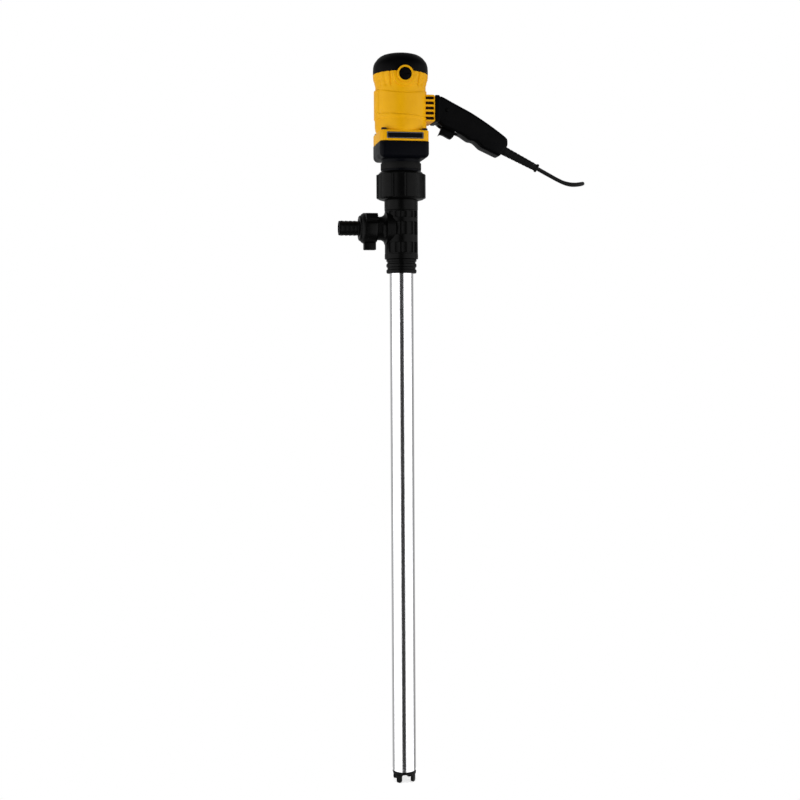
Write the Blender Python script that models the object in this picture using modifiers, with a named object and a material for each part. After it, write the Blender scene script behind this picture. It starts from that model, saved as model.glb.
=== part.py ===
"""Electric drum pump: a switch-handled motor unit, coupled by a union nut to a discharge
manifold and a dip tube with its impeller at the bottom.

The origin is on the pump's axis at the bung seat, the underside of the manifold that rests on
a drum's opening. +Z is up, the handle points along +X, the outlet along -X and the front,
with the rating plate and one brush cap, faces -Y. Azimuths are measured from the front
towards +X. Lengths are in metres, written as millimetres times MM.
"""
import math

import bmesh
import bpy
from mathutils import Matrix, Vector
from mathutils.geometry import convex_hull_2d

MM = 0.001
STEPS = 30                      # sides of the large turned pieces
FINE_STEPS = 14                 # sides of the small ones
GAP = 0.3 * MM                  # kept between pieces that touch

# Dip tube, its inner tube and the drive shaft.
TUBE_D = 42 * MM
TUBE_WALL = 1.5 * MM
TUBE_LENGTH = 910 * MM
TUBE_GRIP = 18.5 * MM           # length of tube held inside the spigot
INNER_TUBE_D = 22 * MM
INNER_TUBE_WALL = 1.5 * MM
SHAFT_D = 10 * MM
IMPELLER_LENGTH = 20 * MM
BLADE_COUNT = 4
FOOT_RING = 4.6 * MM
FOOT_SPIGOT = 36 * MM
LEG_LENGTH = 16 * MM
LEG_WIDTH = 9.5 * MM
LEG_THICKNESS = 5 * MM
LEG_AZIMUTH = 50

# Manifold: heights are above the bung seat.
MANIFOLD_D = 59.4 * MM
MANIFOLD_HEIGHT = 85.8 * MM     # to the smooth collar
COLLAR_HEIGHT = 103.5 * MM      # to the underside of the union nut
SPIGOT_D = 54 * MM
SPIGOT_LENGTH = 25 * MM
SPIGOT_GROOVES = 2
CHAMBER_D = 43.2 * MM
POCKET_PITCH = 24               # degrees
POCKET_WIDTH = 9.4 * MM
POCKET_DEPTH = 3 * MM
POCKET_ROWS = ((11 * MM, 29.5 * MM, -2, 10), (42.5 * MM, 65.5 * MM, -1, 9), (72.5 * MM, 84 * MM, -2, 10))

# Outlet branch, its nut and the hose tail, along -X.
OUTLET_HEIGHT = 54.3 * MM
BRANCH_D = 41.6 * MM
BRANCH_END = 60 * MM            # from the pump's axis
OUTLET_BORE = 21 * MM
OUTLET_NUT_D = 54.2 * MM
OUTLET_NUT_START = 45 * MM
OUTLET_NUT_LENGTH = 31 * MM
OUTLET_LUG_REACH = 38.2 * MM
OUTLET_LUG_WIDTH = 14 * MM
OUTLET_LUGS = 3
HOSE_TAIL_D = 26.6 * MM
HOSE_TAIL_TIP = 112 * MM        # from the pump's axis
HOSE_BARBS = 3

# Union nut and the neck that it draws down.
NECK_D = 68 * MM
NUT_HEIGHT = 50 * MM
NUT_LOBE_D = 87.4 * MM
NUT_RECESS_D = 82 * MM
NUT_LOBES = 6
NUT_LOBE_AZIMUTH = 14.5
NUT_LIP = 7.5 * MM
GASKET = 2.4 * MM
FLANGE_TOP = 118 * MM

# Motor unit.
NOSE_HALF = 43.6 * MM           # half the side of the square nose
CORNER_R = 9 * MM
NOSE_BASE = 178 * MM
PARTING = 203 * MM              # between the nose and the yellow housing
BAND_HEIGHT = 19 * MM           # square part of the housing
BAND_HALF = 43.2 * MM
CAP_PARTING = 323 * MM
MOTOR_D = 94.2 * MM
WAIST_D = 89.6 * MM
SHOULDER_D = 97.2 * MM
CAP_HEIGHT = 36.8 * MM
SHELL_WALL = 3 * MM
BRUSH_HEIGHT = 318 * MM
BOSS_D = 29 * MM
BOSS_FACE = 49 * MM             # from the pump's axis
BRUSH_CAP_D = 22.6 * MM
NOSE_SCREW_PLACE = 36.2 * MM    # from the axis, along X and along Y
SCREW_D = 5 * MM
SCREW_HEAD_D = 9.4 * MM
SCREW_HEAD = 3.7 * MM
VENT_BOX = (57 * MM, 24 * MM, 240.6 * MM, 287.3 * MM)    # reach, half depth, bottom, top
VENT_SLOTS = 5
VENT_PITCH = 8.85 * MM
VENT_FIRST = 246.2 * MM
PLATE_SIZE = (64.8 * MM, 0.8 * MM, 11.4 * MM)
PLATE_HEIGHT = 212.5 * MM

# Electric machine.
STACK_BASE = 232 * MM
STACK_HEIGHT = 50 * MM
STATOR_D = 82.4 * MM
ARMATURE_D = 43.6 * MM
AIR_GAP = 0.7 * MM
ARMATURE_SLOTS = 10
COMMUTATOR_D = 26 * MM
COMMUTATOR_LENGTH = 24 * MM
BRUSH_SECTION = (6 * MM, 10 * MM)
BRUSH_LENGTH = 14 * MM
FAN_D = 76 * MM
FAN_BLADES = 8
LOWER_BEARING = (26 * MM, 8 * MM)
UPPER_BEARING = (22 * MM, 7 * MM)
COUPLING_D = 36 * MM

# Handle.
GRIP_HALF = 17 * MM             # half its thickness along Y
GRIP_WALL = 3 * MM
TRIGGER_PIVOT = Vector((97 * MM, 0, 226 * MM))
TRIGGER_HALF = 6 * MM
LOCK_PLACE = Vector((81 * MM, 0, 262.5 * MM))
LOCK_D = 7 * MM
HANDLE_SCREWS = ((76 * MM, 275 * MM), (129 * MM, 224 * MM), (160 * MM, 224 * MM))
HANDLE_SCREW_D = 3.6 * MM
CORD_D = 7 * MM
BOOT_START = Vector((187.2 * MM, 0, 195.9 * MM))
BOOT_END = Vector((250.8 * MM, 0, 164.6 * MM))

# Hank of the unused cord, behind the motor.
HANK_X = 11 * MM
HANK_RUN = 105 * MM             # straight length of its sides
HANK_TOP = 264.5 * MM           # centre of the cord at the top of the outer turn
HANK_FOLD = 28 * MM             # radius of the outer turn, to the centre of the cord
HANK_FRONT = 47.4 * MM
HANK_DEPTH = 15.2 * MM
STRAP_WALL = 1.6 * MM
STRAP_WIDTH = 11 * MM
STRAP_HEIGHT = 163 * MM
PLUG_SIZE = (26 * MM, 14 * MM, 36 * MM)
PLUG_X = 25 * MM
PLUG_HEIGHT = 161 * MM
PIN_D = 4 * MM
PIN_LENGTH = 19 * MM
PIN_SPACING = 14 * MM

# The cord's route from the boot to the hank, chosen by hand, in millimetres.
CORD_ROUTE = (
    (251.5, 0, 164.3), (257, 0, 161.4), (266, 0, 156.6), (276, 0, 151.4), (286, 0, 146.2), (296, 0, 141.6),
    (306, 0, 138), (316, 0.2, 136.4), (326, 2, 137), (335, 7.5, 138.8), (341.5, 16, 140.8), (344.4, 26, 142.2),
    (343.6, 37, 142.8), (338, 47, 143), (329, 54, 144.4), (317, 58, 148), (303, 59.6, 154.6), (287, 59.6, 162.6),
    (270, 59.4, 171.4), (252, 59.2, 180.6), (233, 59, 190), (214, 58.8, 199.4), (195, 58.6, 208.8),
    (175, 58, 219), (155, 57.2, 229), (133, 56.2, 239), (110, 54.8, 248.2), (86, 53.2, 256), (66, 52, 261),
    (48, 51.6, 263.6), (32.8, 51.5, 264.4),
)

YELLOW = ("yellow_abs", (0.80, 0.36, 0.004), 0.35, 0.0)
BLACK = ("black_nylon", (0.010, 0.010, 0.012), 0.45, 0.0)
LABEL = ("label_film", (0.012, 0.012, 0.016), 0.3, 0.0)
RUBBER = ("black_rubber", (0.015, 0.015, 0.015), 0.75, 0.0)
CORD_PVC = ("cord_pvc", (0.012, 0.012, 0.012), 0.55, 0.0)
STEEL = ("stainless_steel", (0.62, 0.62, 0.62), 0.18, 1.0)
DARK_STEEL = ("blackened_steel", (0.05, 0.05, 0.055), 0.4, 1.0)
LAMINATION = ("lamination_steel", (0.28, 0.28, 0.30), 0.45, 1.0)
COPPER = ("enamelled_copper", (0.55, 0.20, 0.07), 0.35, 1.0)
BRASS = ("brass", (0.72, 0.52, 0.20), 0.3, 1.0)
CARBON = ("brush_carbon", (0.03, 0.03, 0.03), 0.7, 0.0)
PTFE = ("ptfe", (0.82, 0.82, 0.80), 0.5, 0.0)

# Heights and places that follow from the sizes above.
TUBE_R = TUBE_D / 2
TUBE_TOP = TUBE_GRIP - SPIGOT_LENGTH
TUBE_END = TUBE_TOP - TUBE_LENGTH
TUBE_BORE_R = TUBE_R - TUBE_WALL
SHAFT_R = SHAFT_D / 2
SHAFT_HOLE_R = SHAFT_R + GAP
INNER_R = INNER_TUBE_D / 2
INNER_BORE_R = INNER_R - INNER_TUBE_WALL
FOOT_TOP = TUBE_END - GAP
FOOT_UNDER = FOOT_TOP - FOOT_RING
MANIFOLD_R = MANIFOLD_D / 2
COLLAR_R = MANIFOLD_R + 0.3 * MM
CEILING = FLANGE_TOP - 26 * MM            # underside of the manifold's solid top
INNER_TUBE_TOP = CEILING + 8 * MM - GAP
NECK_R = NECK_D / 2
NECK_BASE = FLANGE_TOP + GASKET + 2 * GAP
NUT_TOP = COLLAR_HEIGHT + NUT_HEIGHT
COUPLING_WEB = NOSE_BASE - 10 * MM
BEARING_SEAT = COUPLING_WEB + 12 * MM
STACK_TOP = STACK_BASE + STACK_HEIGHT
ARMATURE_R = ARMATURE_D / 2
POLE_R = ARMATURE_R + AIR_GAP
STATOR_R = STATOR_D / 2
COMMUTATOR_R = COMMUTATOR_D / 2
CAP_BEARING = BRUSH_HEIGHT + COMMUTATOR_LENGTH / 2 + 10 * MM
BAND_TOP = PARTING + BAND_HEIGHT
HEAD_FLOOR = GRIP_HALF - 3.6 * MM
CORD_DIRECTION = (BOOT_END - BOOT_START).normalized()


# ---------------------------------------------------------------- scene and helpers

for item in list(bpy.data.objects):
    bpy.data.objects.remove(item, do_unlink=True)

parts = bpy.data.collections.new("drum_pump")
cutters = bpy.data.collections.new("cutters")
bpy.context.scene.collection.children.link(parts)
bpy.context.scene.collection.children.link(cutters)


def material(look):
    """The Principled material of one finish, made the first time it is asked for."""
    name, colour, roughness, metallic = look
    if name in bpy.data.materials:
        return bpy.data.materials[name]
    made = bpy.data.materials.new(name)
    made.use_nodes = True
    shader = made.node_tree.nodes["Principled BSDF"]
    shader.inputs["Base Color"].default_value = (*colour, 1)
    shader.inputs["Roughness"].default_value = roughness
    shader.inputs["Metallic"].default_value = metallic
    made.diffuse_color = (*colour, 1)
    return made


def place(mesh, name, look):
    """Puts a mesh in the scene: as a part if it has a finish, as a cutter if it has none."""
    item = bpy.data.objects.new(name, mesh)
    if look is None:
        cutters.objects.link(item)
        item.hide_render = True
        item.display_type = "WIRE"
    else:
        parts.objects.link(item)
        mesh.materials.append(material(look))
    return item


def smooth(item):
    item.data.shade_smooth()
    item.data.set_sharp_from_angle(angle=math.radians(35))
    return item


def turned(name, profile, look=None, steps=STEPS):
    """Turns (radius, height) points about Z: outer side top to bottom, then up any bore."""
    mesh = bpy.data.meshes.new(name)
    ring = min(radius for radius, height in profile) > 0
    count = len(profile)
    edges = [(i, (i + 1) % count) for i in range(count if ring else count - 1)]
    mesh.from_pydata([(radius, 0, height) for radius, height in profile], edges, [])
    item = place(mesh, name, look)
    screw = item.modifiers.new("Turn", "SCREW")
    screw.steps = screw.render_steps = steps
    screw.use_merge_vertices = True
    screw.merge_threshold = 0.00001
    screw.use_smooth_shade = True
    return item


def tube(name, outer, inner, low, high, look=None, steps=STEPS):
    return turned(name, [(outer, high), (outer, low), (inner, low), (inner, high)], look, steps)


def rod(name, radius, low, high, look=None, steps=FINE_STEPS):
    return turned(name, [(0, high), (radius, high), (radius, low), (0, low)], look, steps)


def box(name, size, centre, look=None, turn=None):
    """A box of the given size, turned by an optional matrix about its own centre."""
    mesh = bpy.data.meshes.new(name)
    cage = bmesh.new()
    bmesh.ops.create_cube(cage, size=1)
    bmesh.ops.scale(cage, vec=size, verts=cage.verts)
    cage.to_mesh(mesh)
    cage.free()
    item = place(mesh, name, look)
    item.matrix_world = Matrix.Translation(centre) @ (turn or Matrix())
    return item


def slab(name, outline, low, high, look=None, upright=False):
    """Extrudes a flat outline from low to high: along Z, or along Y if the outline is (x, z)."""
    curve = bpy.data.curves.new(name, "CURVE")
    curve.dimensions = "2D"
    curve.fill_mode = "BOTH"
    curve.extrude = (high - low) / 2
    curve.resolution_u = 1
    curve.render_resolution_u = 0
    spline = curve.splines.new("POLY")
    spline.points.add(len(outline) - 1)
    for point, (across, along) in zip(spline.points, outline):
        point.co = (across, along, 0, 1)
    spline.use_cyclic_u = True
    holder = bpy.data.objects.new(name + "_outline", curve)
    cutters.objects.link(holder)
    bpy.context.view_layer.update()
    mesh = bpy.data.meshes.new_from_object(holder.evaluated_get(bpy.context.evaluated_depsgraph_get()))
    bpy.data.objects.remove(holder, do_unlink=True)
    mesh.materials.clear()
    weld(mesh)
    middle = (low + high) / 2
    if upright:
        mesh.transform(Matrix.Translation((0, middle, 0)) @ Matrix.Rotation(math.pi / 2, 4, "X"))
    else:
        mesh.transform(Matrix.Translation((0, 0, middle)))
    return place(mesh, name, look)


def weld(mesh):
    cage = bmesh.new()
    cage.from_mesh(mesh)
    bmesh.ops.remove_doubles(cage, verts=cage.verts, dist=0.000001)
    bmesh.ops.recalc_face_normals(cage, faces=cage.faces)
    cage.to_mesh(mesh)
    cage.free()


def loft(name, sections, look=None):
    """Skins closed sections with equal numbers of points, listed from the bottom to the top."""
    mesh = bpy.data.meshes.new(name)
    count = len(sections[0])
    points = [point for section in sections for point in section]
    faces = [tuple(range(count - 1, -1, -1)), tuple(len(points) - count + i for i in range(count))]
    for level in range(len(sections) - 1):
        base = level * count
        for i in range(count):
            j = (i + 1) % count
            faces.append((base + i, base + j, base + count + j, base + count + i))
    mesh.from_pydata(points, [], faces)
    weld(mesh)
    return place(mesh, name, look)


def rounded_square(half, corner, height, corner_steps=5):
    """Points of a square with round corners, anticlockwise; a circle where corner equals half."""
    points = []
    for quarter in range(4):
        centre = Matrix.Rotation(quarter * math.pi / 2, 2) @ Vector((half - corner, half - corner))
        for step in range(corner_steps):
            angle = (quarter + step / (corner_steps - 1 if corner < half else corner_steps)) * math.pi / 2
            points.append((centre.x + corner * math.cos(angle), centre.y + corner * math.sin(angle), height))
    return points


def boolean(item, other, operation):
    step = item.modifiers.new(other.name, "BOOLEAN")
    step.operation = operation
    step.object = other
    return item


def cut(item, *others):
    for other in others:
        boolean(item, other, "DIFFERENCE")
    return item


def join(item, *others):
    for other in others:
        boolean(item, other, "UNION")
    return item


def aim(item, direction, origin=(0, 0, 0)):
    """Points a piece's own Z axis along a direction, from an origin."""
    item.matrix_world = Matrix.Translation(origin) @ Vector(direction).to_track_quat("Z", "Y").to_matrix().to_4x4()
    return item


def copied(item, name, look, matrix):
    """Another piece of the same shape, moved by a matrix."""
    twin = place(item.data.copy(), name, look)
    twin.data.materials.clear()
    twin.data.materials.append(material(look))
    twin.matrix_world = matrix @ item.matrix_world
    for step in item.modifiers:
        other = twin.modifiers.new(step.name, step.type)
        for key in ("steps", "render_steps", "use_merge_vertices", "merge_threshold", "use_smooth_shade"):
            if hasattr(step, key):
                setattr(other, key, getattr(step, key))
    return twin


def around(azimuth, radius, height=0.0):
    """The point at an azimuth, in degrees from the front towards +X."""
    angle = math.radians(azimuth)
    return Vector((radius * math.sin(angle), -radius * math.cos(angle), height))


def facing(azimuth):
    """Turns a piece made at the front, facing -Y, to an azimuth."""
    return Matrix.Rotation(math.radians(azimuth), 4, "Z")


def smooth_path(points, spacing):
    """Points about a spacing apart along a smooth curve through the given ones."""
    ends = [points[0] * 2 - points[1], *points, points[-1] * 2 - points[-2]]
    path = []
    for before, start, end, after in zip(ends, ends[1:], ends[2:], ends[3:]):
        count = max(1, round((end - start).length / spacing))
        for i in range(count):
            t = i / count
            path.append(0.5 * (2 * start + (end - before) * t + (2 * before - 5 * start + 4 * end - after) * t**2
                               + (3 * start - before - 3 * end + after) * t**3))
    return [*path, points[-1]]


def wire(name, points, diameter, look, roundness=2):
    """A round wire through the given points."""
    curve = bpy.data.curves.new(name, "CURVE")
    curve.dimensions = "3D"
    curve.bevel_depth = diameter / 2
    curve.bevel_resolution = roundness
    curve.use_fill_caps = True
    curve.resolution_u = 1
    curve.render_resolution_u = 0
    spline = curve.splines.new("POLY")
    spline.points.add(len(points) - 1)
    for point, co in zip(spline.points, points):
        point.co = (*co, 1)
    curve.materials.append(material(look))
    item = bpy.data.objects.new(name, curve)
    parts.objects.link(item)
    return item


# ---------------------------------------------------------------- dip tube and pump end

def dip_tube():
    tube("outer_tube", TUBE_R, TUBE_BORE_R, TUBE_END, TUBE_TOP, STEEL)
    tube("inner_tube", INNER_R, INNER_BORE_R, FOOT_TOP + FOOT_SPIGOT + 7 * MM, INNER_TUBE_TOP, STEEL, 24)
    bush_length = 20 * MM
    for name, low in (("shaft_bush_upper", INNER_TUBE_TOP - 40 * MM), ("shaft_bush_lower", TUBE_END + 52 * MM)):
        tube(name, INNER_BORE_R - GAP, SHAFT_HOLE_R, low, low + bush_length, PTFE, FINE_STEPS)


def tube_guide():
    """Three vanes that hold the inner tube in the middle of the outer one."""
    base = FOOT_TOP + FOOT_SPIGOT + GAP
    top = base + 14 * MM
    outer = TUBE_BORE_R - GAP
    seat = base + 6 * MM
    guide = turned("tube_guide", [
        (INNER_R + 2.5 * MM, top), (INNER_R + 2.5 * MM, base), (INNER_BORE_R, base), (INNER_BORE_R, seat),
        (INNER_R + GAP, seat), (INNER_R + GAP, top)], BLACK, 24)
    join(guide, tube("guide_rim", outer, outer - 1.8 * MM, base, top))
    reach = outer - INNER_R - 1.9 * MM
    for vane in range(3):
        blade = box(f"guide_vane_{vane}", (2 * MM, reach, top - base - 2 * MM), (0, 0, 0))
        blade.matrix_world = facing(120 * vane) @ Matrix.Translation(
            (0, -(INNER_R + 1.2 * MM + reach / 2), (base + top) / 2))
        join(guide, blade)


def foot():
    """The pump foot: a spigot up the tube round the impeller, a ring under it and four legs."""
    inlet = 12.5 * MM
    chamber = TUBE_BORE_R - 2 * MM
    spigot = TUBE_BORE_R - GAP
    floor = FOOT_TOP + 1 * MM
    piece = turned("foot", [
        (spigot, FOOT_TOP + FOOT_SPIGOT), (spigot, FOOT_TOP), (TUBE_R, FOOT_TOP), (TUBE_R, FOOT_UNDER),
        (inlet, FOOT_UNDER), (inlet, floor), (chamber, floor + 4 * MM), (chamber, FOOT_TOP + FOOT_SPIGOT)], BLACK)
    tip = LEG_LENGTH - LEG_WIDTH / 3
    half = LEG_WIDTH / 2
    outline = [(-half, 1 * MM), (-half, -tip)]
    outline += [(half * math.sin(a), -tip - (LEG_LENGTH - tip) * math.cos(a))
                for a in (math.radians(d) for d in (-60, -30, 0, 30, 60))]
    outline += [(half, -tip), (half, 1 * MM)]
    for leg in range(4):
        shape = slab(f"leg_{leg}", outline, -TUBE_R + 0.6 * MM, -TUBE_R + 0.6 * MM + LEG_THICKNESS, upright=True)
        shape.matrix_world = facing(LEG_AZIMUTH + 90 * leg) @ Matrix.Translation((0, 0, FOOT_UNDER))
        join(piece, shape)


def pump_rotor():
    """The long shaft, its impeller and the lower half of the coupling."""
    base = TUBE_END + 8 * MM
    rod("drive_shaft", SHAFT_R, base, NECK_BASE + 14 * MM, STEEL)
    low = base + 0.5 * MM
    hub = 7 * MM
    impeller = tube("impeller", hub, SHAFT_HOLE_R, low, low + IMPELLER_LENGTH, BLACK, FINE_STEPS)
    reach = TUBE_BORE_R - 5.1 * MM - hub + 0.8 * MM
    for blade in range(BLADE_COUNT):
        vane = box(f"impeller_blade_{blade}", (1.8 * MM, reach, 0.95 * IMPELLER_LENGTH), (0, 0, 0))
        vane.matrix_world = (facing(360 / BLADE_COUNT * blade)
                             @ Matrix.Translation((0, -(hub - 0.8 * MM + reach / 2), low + IMPELLER_LENGTH / 2))
                             @ Matrix.Rotation(math.radians(50), 4, "Y"))
        join(impeller, vane)


# ---------------------------------------------------------------- manifold and outlet

def grooved_spigot():
    """Profile of the spigot under the bung seat: round ribs with grooves between them."""
    crest = SPIGOT_D / 2
    root = crest - 2 * MM
    pitch = SPIGOT_LENGTH / (SPIGOT_GROOVES + 0.6)
    points = [(crest, 0)]
    for groove in range(SPIGOT_GROOVES):
        middle = -pitch * (groove + 0.72)
        points += [(crest, middle + 2.2 * MM), (root, middle + 1 * MM),
                   (root, middle - 1 * MM), (crest, middle - 2.2 * MM)]
    return [*points, (crest, -SPIGOT_LENGTH + 1 * MM), (crest - 1 * MM, -SPIGOT_LENGTH)]


def outlet_profile():
    """The branch, turned about its own axis from the tip of its thread back into the manifold."""
    radius = BRANCH_D / 2
    flare = 10 * MM
    start = MANIFOLD_R + 9 * MM
    arc = [(radius + flare * (1 - math.cos(a)), start - flare * math.sin(a))
           for a in (math.radians(d) for d in (0, 25, 50, 75))]
    return [(0, BRANCH_END), (radius, BRANCH_END), *arc, (arc[-1][0], 12 * MM), (0, 12 * MM)]


def manifold():
    top = FLANGE_TOP
    flange = NECK_R + 0.2 * MM
    under_flange = COLLAR_HEIGHT + NUT_LIP + GAP
    piece = turned("manifold", [
        (0, top), (flange, top), (flange, under_flange), (COLLAR_R, under_flange), (COLLAR_R, MANIFOLD_HEIGHT),
        (MANIFOLD_R, MANIFOLD_HEIGHT), (MANIFOLD_R, 10 * MM), (COLLAR_R, 9.5 * MM), (COLLAR_R, 0),
        *grooved_spigot(), (0, -SPIGOT_LENGTH)], BLACK)
    branch = aim(turned("branch", outlet_profile()), (-1, 0, 0), (0, 0, OUTLET_HEIGHT))
    join(piece, branch)
    hollow = turned("manifold_hollow", [
        (0, top + 5 * MM), (INNER_BORE_R, top + 5 * MM), (INNER_BORE_R, top - 9 * MM), (SHAFT_HOLE_R, top - 9 * MM),
        (SHAFT_HOLE_R, INNER_TUBE_TOP + GAP), (INNER_R + GAP, INNER_TUBE_TOP + GAP), (INNER_R + GAP, CEILING),
        (CHAMBER_D / 2, CEILING), (CHAMBER_D / 2, 3 * MM), (TUBE_BORE_R, 0), (TUBE_BORE_R, TUBE_TOP + GAP),
        (TUBE_R + GAP, TUBE_TOP + GAP), (TUBE_R + GAP, -SPIGOT_LENGTH - 5 * MM), (0, -SPIGOT_LENGTH - 5 * MM)])
    bore = aim(rod("branch_bore", OUTLET_BORE / 2, 8 * MM, BRANCH_END + 5 * MM, steps=24),
               (-1, 0, 0), (0, 0, OUTLET_HEIGHT))
    cut(piece, hollow, bore)
    for row, (low, high, first, last) in enumerate(POCKET_ROWS):
        for place_number in range(first, last):
            pocket = box(f"pocket_{row}_{place_number}", (POCKET_WIDTH, 2 * POCKET_DEPTH, high - low), (0, 0, 0))
            pocket.matrix_world = facing(POCKET_PITCH * place_number) @ Matrix.Translation(
                (0, -MANIFOLD_R - 0.2 * MM, (low + high) / 2))
            cut(piece, pocket)
    tube("shaft_seal", INNER_BORE_R - GAP, SHAFT_HOLE_R, top - 9 * MM + GAP, top - GAP, RUBBER, 24)
    low = FLANGE_TOP + GAP
    tube("union_gasket", NECK_R - 1 * MM, COUPLING_D / 2 + 8.5 * MM, low, low + GASKET, RUBBER)


def outlet():
    """Gasket, hose tail and nut, each turned about the outlet's axis."""
    centre = (0, 0, OUTLET_HEIGHT)
    nut_end = OUTLET_NUT_START + OUTLET_NUT_LENGTH
    seat = BRANCH_END + GAP
    gasket_end = seat + 2 * MM
    aim(tube("outlet_gasket", BRANCH_D / 2 - 1 * MM, OUTLET_BORE / 2, seat, gasket_end, RUBBER, 24), (-1, 0, 0), centre)

    tail = HOSE_TAIL_D / 2
    flange_end = gasket_end + GAP + 4 * MM
    barb_zone = HOSE_TAIL_TIP - nut_end - 8 * MM
    profile = [(tail - 4 * MM, HOSE_TAIL_TIP), (tail - 1.8 * MM, HOSE_TAIL_TIP), (tail - 0.4 * MM, HOSE_TAIL_TIP - 2 * MM)]
    for barb in range(HOSE_BARBS):
        high = HOSE_TAIL_TIP - 4 * MM - barb * barb_zone / HOSE_BARBS
        profile += [(tail, high), (tail - 0.8 * MM, high - barb_zone / HOSE_BARBS + 1 * MM)]
    profile += [(tail, nut_end - 3 * MM), (tail, flange_end), (BRANCH_D / 2, flange_end),
                (BRANCH_D / 2, gasket_end + GAP), (tail - 4 * MM, gasket_end + GAP)]
    aim(turned("hose_tail", profile, BLACK, 24), (-1, 0, 0), centre)

    outer = OUTLET_NUT_D / 2
    inside = BRANCH_D / 2 + GAP
    nut = turned("outlet_nut", [
        (tail + 2.5 * MM, nut_end), (outer - 5 * MM, nut_end), (outer - 4 * MM, nut_end - 3 * MM),
        (outer, nut_end - 4.5 * MM), (outer, OUTLET_NUT_START + 3.5 * MM), (outer - 2 * MM, OUTLET_NUT_START),
        (inside, OUTLET_NUT_START), (inside, flange_end + GAP), (tail + GAP, flange_end + GAP),
        (tail + GAP, nut_end - 1.5 * MM)], BLACK)
    lug_low = OUTLET_NUT_START + 1.5 * MM
    lug_high = nut_end - 8 * MM
    for lug in range(OUTLET_LUGS):
        piece = box(f"nut_lug_{lug}", (OUTLET_LUG_REACH - outer + 3 * MM, OUTLET_LUG_WIDTH, lug_high - lug_low), (0, 0, 0))
        piece.matrix_world = (Matrix.Rotation(math.radians(120 * lug - 90), 4, "Z")
                              @ Matrix.Translation(((OUTLET_LUG_REACH + outer - 3 * MM) / 2, 0, (lug_low + lug_high) / 2)))
        join(nut, piece)
    aim(nut, (-1, 0, 0), centre)
    follow(nut, centre)


def follow(item, centre):
    """Moves an aimed piece's cutters with it, since each was placed about the piece's own axis."""
    for step in item.modifiers:
        if step.type == "BOOLEAN":
            step.object.matrix_world = item.matrix_world @ step.object.matrix_world


def union_nut():
    """The lobed hand nut that pulls the neck down on the manifold's flange."""
    lobe = NUT_LOBE_D / 2
    recess = NUT_RECESS_D / 2
    outline = []
    for index in range(NUT_LOBES):
        middle = NUT_LOBE_AZIMUTH + 360 / NUT_LOBES * index
        for radius, turn in ((lobe, -14), (lobe, -5), (lobe, 5), (lobe, 14), (recess, 17), (recess, 30), (recess, 43)):
            point = around(middle + turn, radius)
            outline.append((point.x, point.y))
    chamfer = 4.5 * MM
    low = COLLAR_HEIGHT + chamfer - 1 * MM
    nut = slab("union_nut", outline, low, NUT_TOP - chamfer, BLACK)
    join(nut, turned("nut_body", [
        (0, NUT_TOP), (NECK_R + 1.6 * MM, NUT_TOP), (recess - 0.4 * MM, NUT_TOP - chamfer - 0.5 * MM),
        (recess - 0.4 * MM, low + 0.5 * MM), (COLLAR_R + 3 * MM, COLLAR_HEIGHT), (0, COLLAR_HEIGHT)]))
    clearance = NECK_R + 0.2 * MM + GAP
    cut(nut, turned("nut_bore", [
        (0, NUT_TOP + 5 * MM), (clearance, NUT_TOP + 5 * MM), (clearance, COLLAR_HEIGHT + NUT_LIP),
        (COLLAR_R + GAP, COLLAR_HEIGHT + NUT_LIP), (COLLAR_R + GAP, COLLAR_HEIGHT - 5 * MM), (0, COLLAR_HEIGHT - 5 * MM)]))


# ---------------------------------------------------------------- motor unit

def nose_housing():
    """Square black nose with its neck: coupling chamber below, lower bearing seat above."""
    half = NOSE_HALF
    nose = loft("nose_housing", [
        rounded_square(NECK_R, NECK_R, NOSE_BASE - 5 * MM), rounded_square(half - 6.5 * MM, CORNER_R, NOSE_BASE),
        rounded_square(half - 2 * MM, CORNER_R, NOSE_BASE + 2.5 * MM), rounded_square(half, CORNER_R, NOSE_BASE + 6.5 * MM),
        rounded_square(half, CORNER_R, PARTING)], BLACK)
    join(nose, rod("neck", NECK_R, NECK_BASE, NOSE_BASE + 2 * MM, steps=STEPS))
    chamber = COUPLING_D / 2 + 8 * MM
    web_hole = SHAFT_R + 1.5 * MM
    pocket = LOWER_BEARING[0] / 2 + GAP
    fan_room = FAN_D / 2 + 2 * MM
    hollow = turned("nose_hollow", [
        (0, PARTING + 5 * MM), (fan_room, PARTING + 5 * MM), (fan_room, BEARING_SEAT + 12 * MM), (pocket, BEARING_SEAT + 10 * MM),
        (pocket, BEARING_SEAT), (web_hole, BEARING_SEAT), (web_hole, COUPLING_WEB), (chamber, COUPLING_WEB),
        (chamber, NECK_BASE - 5 * MM), (0, NECK_BASE - 5 * MM)])
    cut(nose, hollow)
    for hole in nose_screw_holes("nose", PARTING - 19 * MM, PARTING + 5 * MM):
        cut(nose, hole)


def nose_screw_places():
    return [(NOSE_SCREW_PLACE * x, NOSE_SCREW_PLACE * y) for x, y in ((-1, -1), (1, -1), (1, 1), (-1, 1))]


def nose_screw_holes(name, low, high):
    holes = []
    for index, (x, y) in enumerate(nose_screw_places()):
        hole = rod(f"{name}_screw_hole_{index}", SCREW_D / 2 + GAP, low, high, steps=12)
        hole.location = (x, y, 0)
        holes.append(hole)
    return holes


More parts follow.
